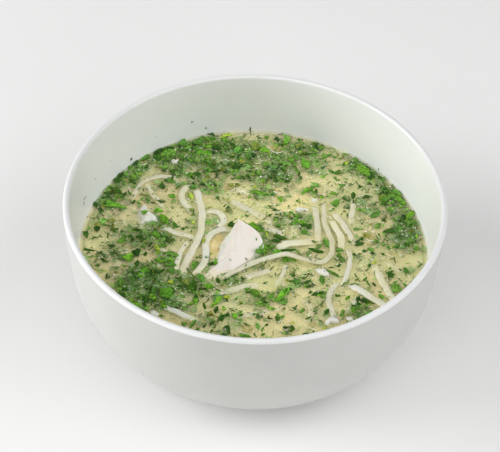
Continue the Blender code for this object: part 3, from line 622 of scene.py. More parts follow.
def cloudy_material(name, scale, detail, *stops, **values):
    """A material whose colour drifts over one noise."""
    shader = Shader(name, **values)
    shader.color(shader.ramp(shader.noise(scale, detail), *stops))
    return shader.material


def glaze():
    """Glossy glaze, painted greyer outside than inside: painted shade outside and painted light
    inside.
    """
    shader = Shader("glaze", Roughness=0.28, IOR=1.5)
    cloud = shader.noise(35, 4)
    outside = shader.ramp(cloud, (0.3, 203, 204, 200), (0.7, 208, 209, 205))
    inside = shader.ramp(cloud, (0.3, 247, 248, 249), (0.7, 250, 251, 251))
    shader.color(shader.mix(shader.attribute("inside", "Fac"), outside, inside))
    shader.bump(shader.noise(60, 2), 0.05, 0.4 * MM)
    return shader.material


def broth_material(name, **values):
    """Pale yellow clouds with finer, darker mottling, green where herbs crowd."""
    shader = Shader(name, **values)
    clouds = shader.ramp(shader.noise(34, 3), (0.34, 246, 246, 200), (0.5, 253, 248, 202),
                         (0.66, 255, 245, 203))
    fine = shader.ramp(shader.noise(330, 2.5, roughness=0.6), (0.3, 240, 237, 222),
                       (0.48, 249, 248, 240), (0.68, 255, 255, 252))
    blotches = shader.ramp(shader.noise(95, 2), (0.36, 234, 237, 222), (0.52, 252, 252, 248),
                           (0.66, 255, 252, 245))
    clear = shader.mix(1.0, shader.mix(1.0, clouds, blotches, "MULTIPLY"), fine, "MULTIPLY")
    green = shader.ramp(shader.noise(420, 4, roughness=0.7), (0.36, 98, 140, 66),
                        (0.5, 166, 198, 118), (0.64, 228, 240, 178))
    shader.color(shader.mix(shader.attribute("haze", "Fac"), clear, green))
    return shader.material


def noodle_material(name, patch_colors):
    """Boiled dough with wide pale and yellow patches and a fine grain."""
    shader = Shader(name, Roughness=0.32, IOR=1.4, Subsurface_Weight=0.6,
                    Subsurface_Radius=(1.0, 0.85, 0.6), Subsurface_Scale=1.6 * MM)
    patches = shader.ramp(shader.noise(45, 2), *(
        (place, *color) for place, color in zip((0.35, 0.5, 0.62), patch_colors)))
    fine = shader.ramp(shader.noise(320, 4), (0.3, 243, 242, 236), (0.7, 255, 255, 252))
    shader.color(shader.mix(1.0, patches, fine, "MULTIPLY"))
    shader.bump(shader.noise(900, 3), 0.12, 0.2 * MM)
    return shader.material


def chicken_material():
    """A smooth cut face with faint stretched fibres."""
    shader = Shader("chicken", Roughness=0.42, IOR=1.4, Subsurface_Weight=0.3,
                    Subsurface_Radius=(1.2, 0.8, 0.6), Subsurface_Scale=1.5 * MM)
    shader.color(shader.ramp(shader.noise(150, 5, (1.6, 0.5, 0.5)), (0.3, 241, 230, 218),
                             (0.55, 248, 240, 231), (0.75, 252, 246, 238)))
    shader.bump(shader.noise(500, 4, (2.2, 0.4, 0.4)), 0.15, 0.2 * MM)
    return shader.material


def torn_material_with_painted_light():
    """Chicken torn across its fibres, whiter than a cut face, partly as painted light that lifts the
    shade of its leaning sides.
    """
    shader = Shader("chicken_torn_and_painted_light", Roughness=0.5, IOR=1.4, Subsurface_Weight=0.3,
                    Subsurface_Radius=(1.2, 0.9, 0.6), Subsurface_Scale=1.5 * MM)
    shader.color(shader.ramp(shader.noise(500, 3), (0.3, 237, 235, 216), (0.6, 251, 250, 242)))
    shader.bump(shader.noise(700, 4), 0.4, 0.3 * MM)
    return shader.material


def herb_material(name, roughness=0.45):
    """Each bit has its own colour in an attribute, with a mottling that paints lighter and darker
    facets as painted light and shade.
    """
    shader = Shader(name, Roughness=roughness, IOR=1.3)
    mottle_and_painted_facet_light = shader.ramp(shader.noise(1000, 2), (0.36, 0.48, 0.54, 0.37), (0.5, 1.08, 1.08, 1.0),
                         (0.64, 1.62, 1.46, 1.5), display=False)
    shader.color(shader.mix(1.0, shader.attribute("tone"), mottle_and_painted_facet_light, "MULTIPLY"))
    shader.bump(shader.noise(800, 2), 0.4, 0.25 * MM)
    return shader.material


# ---------------------------------------------------------------- meshes

def add_mesh(name, verts, faces, material, smooth=True, tones=None):
    mesh = bpy.data.meshes.new(name)
    mesh.from_pydata([tuple(v) for v in verts], [], faces)
    mesh.materials.append(material)
    if tones is not None:
        attribute = mesh.attributes.new("tone", "FLOAT_COLOR", "POINT")
        attribute.data.foreach_set("color", np.asarray(tones, np.float32).ravel())
    if smooth:
        mesh.shade_smooth()
    mesh.validate()
    obj = bpy.data.objects.new(name, mesh)
    bpy.context.scene.collection.objects.link(obj)
    return obj


def spaced(start, end, count):
    """Count values from start to end, with both ends."""
    return [start + (end - start) * i / (count - 1) for i in range(count)]


def toward(angle, rise=0.0):
    """A level direction of length 1, with a rise added. The angle is in radians from +X."""
    return Vector((math.cos(angle), math.sin(angle), rise))


def wave(point, scale, seed=0.0):
    """Smooth noise of about -1 to 1 with features of the given size."""
    return noise.noise(Vector(point) / scale + Vector((seed, seed * 0.7, seed * 1.3)))


def flipped(faces):
    """Faces seen from their other side, each from the same first vertex."""
    return [face[:1] + face[:0:-1] for face in faces]


def band(lower, upper, count, flip=False):
    """Quads between two rings of vertices, given where each ring starts."""
    quads = []
    for i in range(count):
        j = (i + 1) % count
        quads.append((lower + i, lower + j, upper + j, upper + i))
    return flipped(quads) if flip else quads


def stacked(rings, sides, flip=False, pointed=False):
    """Faces of a closed stack of rings. A pointed one starts with a vertex instead of a ring."""
    starts = [int(pointed) + ring * sides for ring in range(rings)]
    first, last = (tuple(range(start, start + sides)) for start in (starts[0], starts[-1]))
    if pointed:
        faces = [(0, 1 + (i + 1) % sides, 1 + i) for i in range(sides)]
    else:
        faces = [first[::-1]]
    for lower, upper in zip(starts, starts[1:]):
        faces += band(lower, upper, sides)
    faces.append(last)
    return flipped(faces) if flip else faces


def circle(x, y, z, radius, count):
    """A level ring of vertices."""
    return [(x + radius * math.cos(math.tau * i / count),
             y + radius * math.sin(math.tau * i / count), z) for i in range(count)]


def turned(profile, segments):
    """Vertices and faces of an (r, z) profile turned about Z; ends on the axis are closed."""
    verts, rings, faces = [], [], []
    for r, z in profile:
        if r < 1e-9:
            rings.append([len(verts)])
            verts.append((0, 0, z))
            continue
        rings.append(list(range(len(verts), len(verts) + segments)))
        verts += circle(0, 0, z, r, segments)
    for lower, upper in zip(rings, rings[1:]):
        for i in range(segments):
            j = (i + 1) % segments
            quad = [lower[i % len(lower)], lower[j % len(lower)],
                    upper[j % len(upper)], upper[i % len(upper)]]
            faces.append(list(dict.fromkeys(quad)))
    return verts, faces


def smooth_route(route, step):
    """Points about a step apart along a Catmull-Rom curve through the route."""
    points = [Vector(p) for p in route]
    padded = [2 * points[0] - points[1]] + points + [2 * points[-1] - points[-2]]
    result = []
    for a, b, c, d in zip(padded, padded[1:], padded[2:], padded[3:]):
        steps = max(1, round((c - b).length / step))
        for i in range(steps):
            t = i / steps
            result.append(0.5 * (2 * b + (c - a) * t + (2 * a - 5 * b + 4 * c - d) * t * t
                                 + (3 * b - a - 3 * c + d) * t ** 3))
    return result + [points[-1]]


def joined(parts):
    """Join lists of (verts, faces)."""
    verts, faces = [], []
    for part_verts, part_faces in parts:
        start = len(verts)
        verts += part_verts
        faces += [tuple(start + i for i in face) for face in part_faces]
    return verts, faces


# ---------------------------------------------------------------- bowl

def wall_point(angle, foot, rim, curve):
    """A point (r, z) of a bowl's wall: angle 0 is at the foot, 90 degrees at the rim."""
    rise = 1 - math.cos(angle) ** (2 / curve[0])
    reach = math.sin(angle) ** (2 / curve[1])
    return (foot[0] + (rim[0] - foot[0]) * reach, foot[1] + (rim[1] - foot[1]) * rise)


def inner_rim(radius, height):
    return (radius - WALL, height - WALL / 2)


def inner_radius(z, radius, height):
    """The inner wall's radius at a height."""
    rim = inner_rim(radius, height)
    rise = (z - FLOOR_HEIGHT) / (rim[1] - FLOOR_HEIGHT)
    reach = (1 - (1 - rise) ** INNER_CURVE[0]) ** (1 / INNER_CURVE[1])
    return FLOOR_RADIUS + (rim[0] - FLOOR_RADIUS) * reach


def make_bowl(radius, height):
    """One turned profile: up the foot and the outside, over the lip and down the inside."""
    foot_ring = [(0, RECESS_HEIGHT), (FOOT_INNER_RADIUS - FOOT_EDGE, RECESS_HEIGHT),
                 (FOOT_INNER_RADIUS, FOOT_EDGE)]
    for start, centre in ((math.pi, FOOT_INNER_RADIUS + FOOT_EDGE),
                          (1.5 * math.pi, FOOT_RADIUS - FOOT_EDGE)):
        foot_ring += [(centre + FOOT_EDGE * math.cos(a), FOOT_EDGE + FOOT_EDGE * math.sin(a))
                      for a in spaced(start, start + math.pi / 2, FOOT_EDGE_POINTS)]
    angles = spaced(0, math.pi / 2, WALL_POINTS)
    outer = [wall_point(a, (FOOT_RADIUS, FOOT_HEIGHT), (radius, height - WALL / 2), OUTER_CURVE)
             for a in angles]
    lip = [(radius - WALL / 2 + WALL / 2 * math.cos(a), height - WALL / 2 + WALL / 2 * math.sin(a))
           for a in spaced(0, math.pi, LIP_POINTS)[1:-1]]
    inner = [wall_point(a, (FLOOR_RADIUS, FLOOR_HEIGHT), inner_rim(radius, height), INNER_CURVE)
             for a in reversed(angles)]
    verts, faces = turned(foot_ring + outer + lip + inner + [(0, FLOOR_HEIGHT)], BOWL_SEGMENTS)
    bowl = add_mesh("bowl_glazed", verts, faces, glaze())
    first_lip = 1 + BOWL_SEGMENTS * (len(foot_ring) - 1 + len(outer))
    first_inner = first_lip + BOWL_SEGMENTS * len(lip)
    # Painted light: the inside, and the lip less strongly, get the glaze's whiter colour
    inside = bowl.data.attributes.new("inside", "FLOAT", "POINT")
    for index in range(first_lip, len(bowl.data.vertices)):
        inside.data[index].value = 1.0 if index >= first_inner else LIP_PAINTED_LIGHT
    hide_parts("bowl")
    return bowl


# ---------------------------------------------------------------- broth

def liquid_height(x, y, edge, level, top):
    """A face of a slab swells a little and, at the top, climbs the wall."""
    swell = SWELL_HEIGHT * wave((x, y, level), SWELL_LENGTH)
    climb = max(0.0, 1 - (edge - math.hypot(x, y)) / MENISCUS_WIDTH)
    return level + swell * (1 - climb) + (MENISCUS_HEIGHT * climb ** 2 if top else 0)


def set_haze(piece):
    """Mark where the broth is green with crowded herbs, as an attribute from 0 to 1."""
    values = []
    for vertex in piece.data.vertices:
        x, y = vertex.co.x / MM, vertex.co.y / MM
        patchy = 0.5 + 0.5 * wave((x, y, 7), 5.5) + 0.3 * wave((x, y, 2), 2.2)
        crowded = max(0.0, (crowding(x, y) - HAZE_START) * HAZE_GAIN)
        values.append(min(HAZE_LIMIT, crowded * (0.45 + patchy)))
    attribute = piece.data.attributes.new("haze", "FLOAT", "POINT")
    attribute.data.foreach_set("value", np.asarray(values, np.float32))


def make_slab(name, level, depths, material, radius, height):
    """A closed see-through slab of liquid that reaches just into the wall."""
    verts, faces, blocks = [], [], []
    for below in depths:
        z = level - below * MM
        edge = inner_radius(z, radius, height) + SLAB_BITE
        radii = [edge * math.sqrt(i / SLAB_RINGS) for i in range(SLAB_RINGS - 2)]
        radii += [edge - MENISCUS_WIDTH * share for share in MENISCUS_RINGS]
        disc, quads = turned([(r, z) for r in radii], SLAB_SEGMENTS)
        blocks.append(len(verts))
        quads = [[len(verts) + i for i in quad] for quad in quads]
        faces += quads if below == depths[0] else [quad[::-1] for quad in quads]
        verts += [(x, y, liquid_height(x, y, edge, z, below == 0)) for x, y, _ in disc]
    upper, lower = blocks[1] - SLAB_SEGMENTS, len(verts) - SLAB_SEGMENTS
    faces += band(upper, lower, SLAB_SEGMENTS, flip=True)
    slab = add_mesh(name, verts, faces, material)
    slab.visible_shadow = False
    return slab


def make_broth(level, radius, height):
    """The opaque body and the see-through slabs over it."""
    body_top = level - BODY_DEPTH * MM
    rim = inner_rim(radius, height)
    side = [wall_point(a, (FLOOR_RADIUS, FLOOR_HEIGHT), rim, INNER_CURVE)
            for a in spaced(0, math.pi / 2, BODY_POINTS)]
    side = [(r + BODY_BITE, z - BODY_BITE) for r, z in side if z < body_top]
    side.append((inner_radius(body_top, radius, height) + BODY_BITE, body_top))
    profile = [(0, FLOOR_HEIGHT - BODY_BITE)] + side
    profile += [(side[-1][0] * (1 - i / BODY_RINGS), body_top) for i in range(1, BODY_RINGS)]
    verts, faces = turned(profile + [(0, body_top)], SLAB_SEGMENTS)
    body = add_mesh("broth_deep", verts, faces, broth_material("broth_deep", Roughness=0.5))
    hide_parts("broth")
    pieces = [body]
    for index, (top, bottom, alpha, roughness) in enumerate(SLABS):
        name = f"broth_slab_{index}"
        material = broth_material(name, Roughness=roughness, IOR=1.4, Alpha=alpha)
        pieces.append(make_slab(name, level, (top, bottom), material, radius, height))
    for piece in pieces:
        set_haze(piece)
    return pieces


# ---------------------------------------------------------------- noodles and shreds

def strand_mesh(route, width, thickness, level, seed, torn=0.0):
    """A flat rounded strand with an uneven width, rounded ends and a slight twist."""
    points = smooth_route(route, STRAND_STEP)
    lengths = [0.0]
    for a, b in zip(points, points[1:]):
        lengths.append(lengths[-1] + (b - a).length)
    total = lengths[-1]
    verts = []
    for i, point in enumerate(points):
        ahead = points[min(i + 1, len(points) - 1)] - points[max(i - 1, 0)]
        side = ahead.cross(UP).normalized()
        up = side.cross(ahead).normalized()
        end = min(lengths[i], total - lengths[i])
        tip = math.sqrt(min(1.0, (end + 0.12) / (0.55 * width)))
        uneven = 1.04 + 0.13 * wave((lengths[i], seed, 0), 6.0)
        twist = 0.35 * wave((lengths[i], seed, 5), 9.0)
        offset = side * 0.35 * wave((lengths[i], seed, 3), 4.5)
        for k in range(STRAND_SIDES):
            a = math.tau * k / STRAND_SIDES
            s = math.copysign(abs(math.cos(a)) ** 0.75, math.cos(a)) * width / 2 * uneven * tip
            u = math.copysign(abs(math.sin(a)) ** 0.85, math.sin(a)) * thickness / 2 * tip
            across = s * math.cos(twist) - u * math.sin(twist)
            above = s * math.sin(twist) + u * math.cos(twist)
            v = point + offset + side * across + up * above
            if torn:
                v += Vector((wave(v, 0.7, 1), wave(v, 0.7, 2), wave(v, 0.7, 3))) * torn
            verts.append((v.x * MM, v.y * MM, v.z * MM + level))
    return verts, stacked(len(points), STRAND_SIDES)


def with_dipped_ends(route):
    """A route with a point added past each end, where the strand goes under the surface."""
    first, second, before, last = (Vector(route[i]) for i in (0, 1, -2, -1))
    start = first + (first - second).normalized() * DIP_LENGTH - UP * DIP_DEPTH
    end = last + (last - before).normalized() * DIP_LENGTH - UP * DIP_DEPTH
    return [tuple(start)] + route + [tuple(end)]


def make_strands(level, pale, shaded_noodle, torn):
    pieces = []
    for index, (name, (width, route)) in enumerate(NOODLES.items()):
        route = with_dipped_ends([(x, y, z - NOODLE_SINK) for x, y, z in route])
        mesh = strand_mesh(route, width, NOODLE_THICKNESS, level, index * 3.1)
        piece = add_mesh(name + "_boiled", *mesh, pale if name in PALE_NOODLES else shaded_noodle)
        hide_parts(name)
        pieces.append(piece)
    for index, (name, (width, route)) in enumerate(SHREDS.items()):
        route = [(x, y, z - SHRED_SINK) for x, y, z in route]
        mesh = strand_mesh(route, width, SHRED_THICKNESS, level, 90 + index * 2.3, SHRED_TEAR)
        piece = add_mesh(name + "_torn", *mesh, torn)
        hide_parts(name)
        pieces.append(piece)
    sunk = joined(strand_mesh(route, width, NOODLE_THICKNESS, level, 200 + i * 4.7)
                  for i, (width, route) in enumerate(SUNK_NOODLES))
    piece = add_mesh("noodles_sunk", *sunk, shaded_noodle)
    pieces.append(piece)
    return pieces


# ---------------------------------------------------------------- chicken

def chunk_mesh(outline, level, seed, roughness):
    """A slice of chicken: a nearly flat top and rough sides that lean out, most at the front left.

    The third value returned is the number of faces on top, which come first.
    """
    edge = smooth_route(outline + [outline[0]], CHUNK_STEP)[:-1]
    centre = sum(edge, Vector()) / len(edge)
    count = len(edge)
    rings = []
    for step in range(1, TOP_RINGS):
        share = step / TOP_RINGS
        row = []
        for point in edge:
            v = centre.lerp(point, share)
            v.z += TOP_SWELL * (1 - share * share) + roughness * wave((v.x, v.y, seed), 3.0)
            row.append(v)
        rings.append(row)
    outward = []
    for i in range(count):
        along = edge[(i + 2) % count] - edge[i - 2]
        outward.append(Vector((-along.y, along.x, 0)).normalized())
    rings.append([p + UP * 0.05 for p in edge])
    for step in range(1, SIDE_RINGS + 1):
        row = []
        for point, out in zip(edge, outward):
            drop = (point.z + CHUNK_DEPTH) * (step / SIDE_RINGS) ** 1.2
            torn = max(0.0, -out.x)
            spread = min(1.8, max(0.2, 1.35 + 0.085 * (centre.y - point.y)))
            lean = (SIDE_LEAN + TORN_LEAN * torn * spread) * drop
            v = point - UP * drop + out * lean
            v += out * (0.75 * torn + 0.12) * wave((v.x, v.y, v.z * 0.5), 1.6, seed)
            row.append(v)
        rings.append(row)
    verts = [centre] + [v for row in rings for v in row]
    verts = [(v.x * MM, v.y * MM, v.z * MM + level) for v in verts]
    return verts, stacked(len(rings), count, pointed=True), TOP_RINGS * count


def make_skin(level, material):
    """The tan skin of the larger chunk, which shows under the surface beside it."""
    verts = []
    cx, cy, half_x, half_y, turn = SKIN
    a = math.radians(turn)
    for k in range(SKIN_RINGS + 1):
        polar = math.pi * (k + 0.02) / (SKIN_RINGS + 0.04)
        for i in range(SKIN_SEGMENTS):
            b = math.tau * i / SKIN_SEGMENTS
            u = half_x * math.sin(polar) * math.cos(b)
            v = half_y * math.sin(polar) * math.sin(b)
            ragged = 1 + 0.3 * wave((u, v, 3), 2.5)
            x = cx + (u * math.cos(a) - v * math.sin(a)) * ragged
            y = cy + (u * math.sin(a) + v * math.cos(a)) * ragged
            z = SKIN_HALF * math.cos(polar) - SKIN_DEPTH + 0.35 * wave((x, y, 1), 2.0)
            verts.append((x * MM, y * MM, level + z * MM))
    faces = stacked(SKIN_RINGS + 1, SKIN_SEGMENTS, flip=True)
    piece = add_mesh("chicken_skin", verts, faces, material)
    return piece


def make_chicken(level, cut, torn):
    pieces = []
    for index, (name, outline) in enumerate(CHUNKS.items()):
        verts, faces, top = chunk_mesh(outline, level, 3.0 + index, TOP_ROUGHNESS[name])
        piece = add_mesh(name + "_cooked", verts, faces, cut)
        piece.data.materials.append(torn)
        for polygon in piece.data.polygons:
            polygon.material_index = 1 if polygon.index >= top or name == "chicken_side" else 0
        piece.data.set_sharp_from_angle(angle=math.radians(40))
        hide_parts(name)
        pieces.append(piece)
    return pieces


# ---------------------------------------------------------------- outlines of leaf pieces

def jagged(rng, corners, teeth, depth):
    """A closed outline through corners, with small teeth along its edges."""
    result = []
    for a, b in zip(corners, corners[1:] + corners[:1]):
        result.append(a)
        for k in range(1, teeth + 1):
            t = (k + rng.uniform(-0.2, 0.2)) / (teeth + 1)
            bite = depth * (0.5 + rng.random()) * (1 if k % 2 else -0.4)
            x, y = a[0] + (b[0] - a[0]) * t, a[1] + (b[1] - a[1]) * t
            result.append((x * (1 - bite), y * (1 - bite)))
    return result


def blade_outline(rng):
    """A leaf corner cut straight across: a triangle that points along +X."""
    corners = [(-0.5, -0.42), (-0.1, -0.36), (0.5, rng.uniform(-0.12, 0.12)), (0.0, 0.4),
               (-0.45, 0.5)]
    return jagged(rng, corners, 2, 0.07)


def oval_outline(rng):
    """A pointed oval with a few small teeth."""
    count = 18
    result = []
    for i in range(count):
        a = math.tau * i / count
        tooth = (1.07, 0.9)[i % 2] if i % (count // 2) else 1.05
        tooth *= rng.uniform(0.95, 1.04)
        result.append((0.5 * math.cos(a) * tooth,
                       0.5 * math.sin(a) * (1 - 0.45 * abs(math.cos(a)) ** 2) * tooth))
    return result


def strip_outline(rng):
    """A bent strip with uneven edges."""
    bow = rng.uniform(-0.25, 0.25)
    upper = [(t, 0.5 * (1 - abs(2 * t) ** 3) + bow * (1 - 4 * t * t) + rng.uniform(-0.07, 0.07))
             for t in (-0.44, -0.25, 0.0, 0.25, 0.42)]
    lower = [(t, -0.5 * (1 - abs(2 * t) ** 3) + bow * (1 - 4 * t * t) + rng.uniform(-0.07, 0.07))
             for t in (0.4, 0.2, 0.0, -0.22, -0.4)]
    return [(-0.5, rng.uniform(-0.1, 0.1))] + lower[::-1] + [(0.5, 0)] + upper[::-1]


def lobed_outline(rng):
    """Part of a parsley leaf: toothed lobes that fan out of a base, which is often cut off."""
    lobes = rng.choice((2, 3, 3, 4))
    points = [(-0.5, -0.07)]
    spread = math.radians(rng.uniform(55, 80))
    for i in range(lobes):
        left = -spread + 2 * spread * i / lobes
        width = 2 * spread / lobes
        reach = rng.uniform(0.72, 1.05) * (1 - 0.25 * abs(2 * (i + 0.5) / lobes - 1))
        for share, scale in ((0.03, 0.4), (0.22, 0.88), (0.34, 0.7), (0.5, 1.12),
                             (0.66, 0.72), (0.8, 0.9)):
            a = left + width * (share + rng.uniform(-0.04, 0.04))
            r = reach * scale * rng.uniform(0.9, 1.08)
            points.append((r * math.cos(a) - 0.5, 0.62 * r * math.sin(a)))
    points.append((-0.5, 0.07))
    cut = rng.choice((-0.5, -0.3, -0.22, -0.15))
    slant = rng.uniform(-0.3, 0.3)
    return [(max(x, cut + slant * y), y) for x, y in points]


def chip_outline(rng):
    """A small cut piece with a few sharp corners and hollow edges."""
    corners = rng.randint(3, 5)
    ring = []
    for i in range(corners):
        a = math.tau * (i + rng.uniform(-0.25, 0.25)) / corners
        r = rng.uniform(0.4, 0.58)
        ring.append((r * math.cos(a), r * math.sin(a)))
    return jagged(rng, ring, 1, 0.2)


OUTLINES = {"blade": blade_outline, "oval": oval_outline, "strip": strip_outline,
            "lobed": lobed_outline, "chip": chip_outline}


# ---------------------------------------------------------------- herbs

class Greens:
    """Leaf pieces and threads gathered into one mesh, each with its own colour."""

    def __init__(self, seed):
        self.rng = random.Random(seed)
        self.verts, self.faces, self.tones = [], [], []

    def tone(self, name):
        """A named colour, a little lighter or darker and warmer or cooler."""
        red, green, blue, _ = linear(*TONES[name])
        light = self.rng.uniform(0.78, 1.22)
        warm = self.rng.uniform(0.88, 1.14)
        return (red * light * warm, green * light, blue * light / warm, 1.0)

    def leaf(self, place, length, width, turn, tone, kind, tilt=0.1, curl=1.0, plain=False):
        """A thin curled leaf piece. Place is in metres, and the sizes in millimetres."""
        rng = self.rng
        outline = [(x * length, y * width) for x, y in OUTLINES[kind](rng)]
        bend_x = rng.uniform(-0.12, 0.2) * curl / max(length, 2)
        bend_y = rng.uniform(-0.15, 0.25) * curl / max(width, 1.5)
        fold = rng.uniform(-0.15, 0.35) * curl
        painted_fold_shade = rng.uniform(-0.22, 0.22)
        lift = rng.uniform(0, 50)
        lean = Quaternion(toward(rng.uniform(0, math.tau)), rng.uniform(0.2, 1.0) * tilt)
        turned_lean = (lean @ Quaternion(UP, math.radians(turn))).to_matrix().to_4x4()
        matrix = Matrix.Translation(place) @ turned_lean
        thick = min(0.3, 0.09 * length)
        color = self.tone(tone)
        rings = [outline]
        if len(outline) > 11 and not plain:
            rings.append([(x * 0.55, y * 0.55) for x, y in outline])
        start, n = len(self.verts), len(outline)

        def put(x, y, below, shade):
            z = bend_x * x * x + bend_y * y * y + fold * abs(y)
            z += 0.12 * curl * wave((x, y, lift), 1.7) - below
            self.verts.append(matrix @ Vector((x * MM, y * MM, z * MM)))
            self.tones.append([c * shade for c in color[:3]] + [1.0])

        # Shade of each vertex: a random tone, the two halves painted lighter and darker as the light
        # and shade of a fold, and the centre a little lighter
        for side in (0, thick):
            for ring in rings:
                for x, y in ring:
                    put(x, y, side, 1 + 0.2 * wave((x, y, lift + 9), 1.6)
                        + math.copysign(painted_fold_shade, y))
            put(0, 0, side, 1.08)
        block = n * len(rings) + 1
        for side in (0, 1):
            base = start + side * block
            last = base + (len(rings) - 1) * n
            patch = band(base, last, n) if last > base else []
            patch += [(last + i, last + (i + 1) % n, base + block - 1) for i in range(n)]
            self.faces += [face[::-1] for face in patch] if side else patch
        for i in range(n):
            j = (i + 1) % n
            self.faces.append((start + j, start + i, start + block + i, start + block + j))

    def thread(self, start, end, bow, thickness, tone, droop=0.0, count=5):
        """A dill thread between two points in metres, thin at its ends."""
        along = end - start
        across = along.cross(UP).normalized()
        side = across * along.length * bow
        upward = across.cross(along).normalized()
        color = self.tone(tone)
        sides, first = 4, len(self.verts)
        self.verts.append(start)
        for i in range(count):
            t = (i + 0.5) / count
            arch = 4 * t * (1 - t)
            centre = start + along * t + side * arch * 0.5 + UP * droop * MM * arch
            half = thickness / 2 * MM * (0.55 + 0.45 * arch) * self.rng.uniform(0.85, 1.15)
            for k in range(sides):
                a = math.tau * k / sides
                self.verts.append(centre + across * half * math.cos(a)
                                  + upward * half * math.sin(a))
        self.verts.append(end)
        self.tones += [color] * (count * sides + 2)
        last = first + 1 + (count - 1) * sides
        for k in range(sides):
            j = (k + 1) % sides
            self.faces.append((first, first + 1 + j, first + 1 + k))
            self.faces.append((last + k, last + j, last + sides))
        for start_of_ring in range(first + 1, last, sides):
            self.faces += band(start_of_ring, start_of_ring + sides, sides)

    def frond(self, place, size, count, turn):
        """A feathery tip: short threads that branch off a few stems."""
        rng = self.rng
        stems = max(2, count // 6)
        for s in range(stems):
            a = math.radians(turn) + (s - (stems - 1) / 2) * 0.7 + rng.uniform(-0.2, 0.2)
            way = toward(a)
            root = place - way * size * 0.4 * MM
            tip = place + way * size * 0.5 * MM + UP * rng.uniform(-0.3, 0.3) * MM
            self.thread(root, tip, rng.uniform(-0.2, 0.2), FROND_THREAD * 1.2, "dark")
            for _ in range(count // stems):
                t = rng.uniform(0.15, 0.95)
                b = a + rng.choice((-1, 1)) * rng.uniform(0.4, 1.1)
                length = size * rng.uniform(0.22, 0.5) * (1.2 - 0.6 * t)
                base = root.lerp(tip, t) + UP * rng.uniform(-FROND_DEPTH, 0.35) * MM
                end = base + toward(b, rng.uniform(-0.2, 0.3)) * length * MM
                self.thread(base, end, rng.uniform(-0.3, 0.3), FROND_THREAD * rng.uniform(0.7, 1.1),
                            rng.choice(("dark", "dark", "olive", "mid")))

    def add(self, name, material):
        obj = add_mesh(name, self.verts, self.faces, material, tones=self.tones)
        obj.data.set_sharp_from_angle(angle=math.radians(50))
        return obj


def inside_ellipse(x, y, ellipse):
    """1 well inside an ellipse and 0 well outside it, with a soft edge."""
    cx, cy, half_x, half_y, turn = ellipse
    a = math.radians(turn)
    u = ((x - cx) * math.cos(a) + (y - cy) * math.sin(a)) / half_x
    v = ((y - cy) * math.cos(a) - (x - cx) * math.sin(a)) / half_y
    return math.exp(-(u * u + v * v) ** 2)


def crowding(x, y):
    """How crowded the herbs are at a point: 0 in a clearing, about 1 in the thickest parts."""
    value = 0.1 + 0.05 * wave((x, y, 0), 9)
    for *ellipse, weight in CLUMPS:
        value = max(value, weight * inside_ellipse(x, y, ellipse))
    for ellipse in CLEARINGS:
        value *= 1 - inside_ellipse(x, y, ellipse)
    return value * (1 + 0.35 * wave((x, y, 4), 4))


def feathery(x, y):
    """The share of dill in the herbs at a point."""
    return max(inside_ellipse(x, y, ellipse) for ellipse in FEATHERY)


def scatter(rng, spread, edge):
    """Points over the broth: a spread has their count, pull towards crowded parts and margin."""
    count, pull, margin = spread
    reach = edge - margin
    points = []
    while len(points) < count:
        x, y = rng.uniform(-reach, reach), rng.uniform(-reach, reach)
        if math.hypot(x, y) < reach and rng.random() < crowding(x, y) ** pull:
            points.append((x, y))
    return points


class Surface:
    """Heights of the noodles and chicken over the broth."""

    def __init__(self, pieces, level):
        self.level = level
        self.trees = []
        for piece in pieces:
            mesh = piece.data
            self.trees.append(BVHTree.FromPolygons([v.co for v in mesh.vertices],
                                                   [p.vertices for p in mesh.polygons]))

    def height(self, x, y):
        """Millimetres over the broth's level of what lies at a point; 0 for open broth."""
        start = Vector((x * MM, y * MM, self.level + 0.05))
        best = 0.0
        for tree in self.trees:
            hit = tree.ray_cast(start, -UP)[0]
            if hit is not None:
                best = max(best, (hit.z - self.level) / MM)
        return best

    def open_around(self, x, y, radius):
        """Whether the broth is open at a point and a short way around it."""
        around = [(x, y)] + [(x + radius * math.cos(a), y + radius * math.sin(a))
                             for a in spaced(0, 1.5 * math.pi, 3)]
        return all(self.height(*point) < OPEN_HEIGHT for point in around)


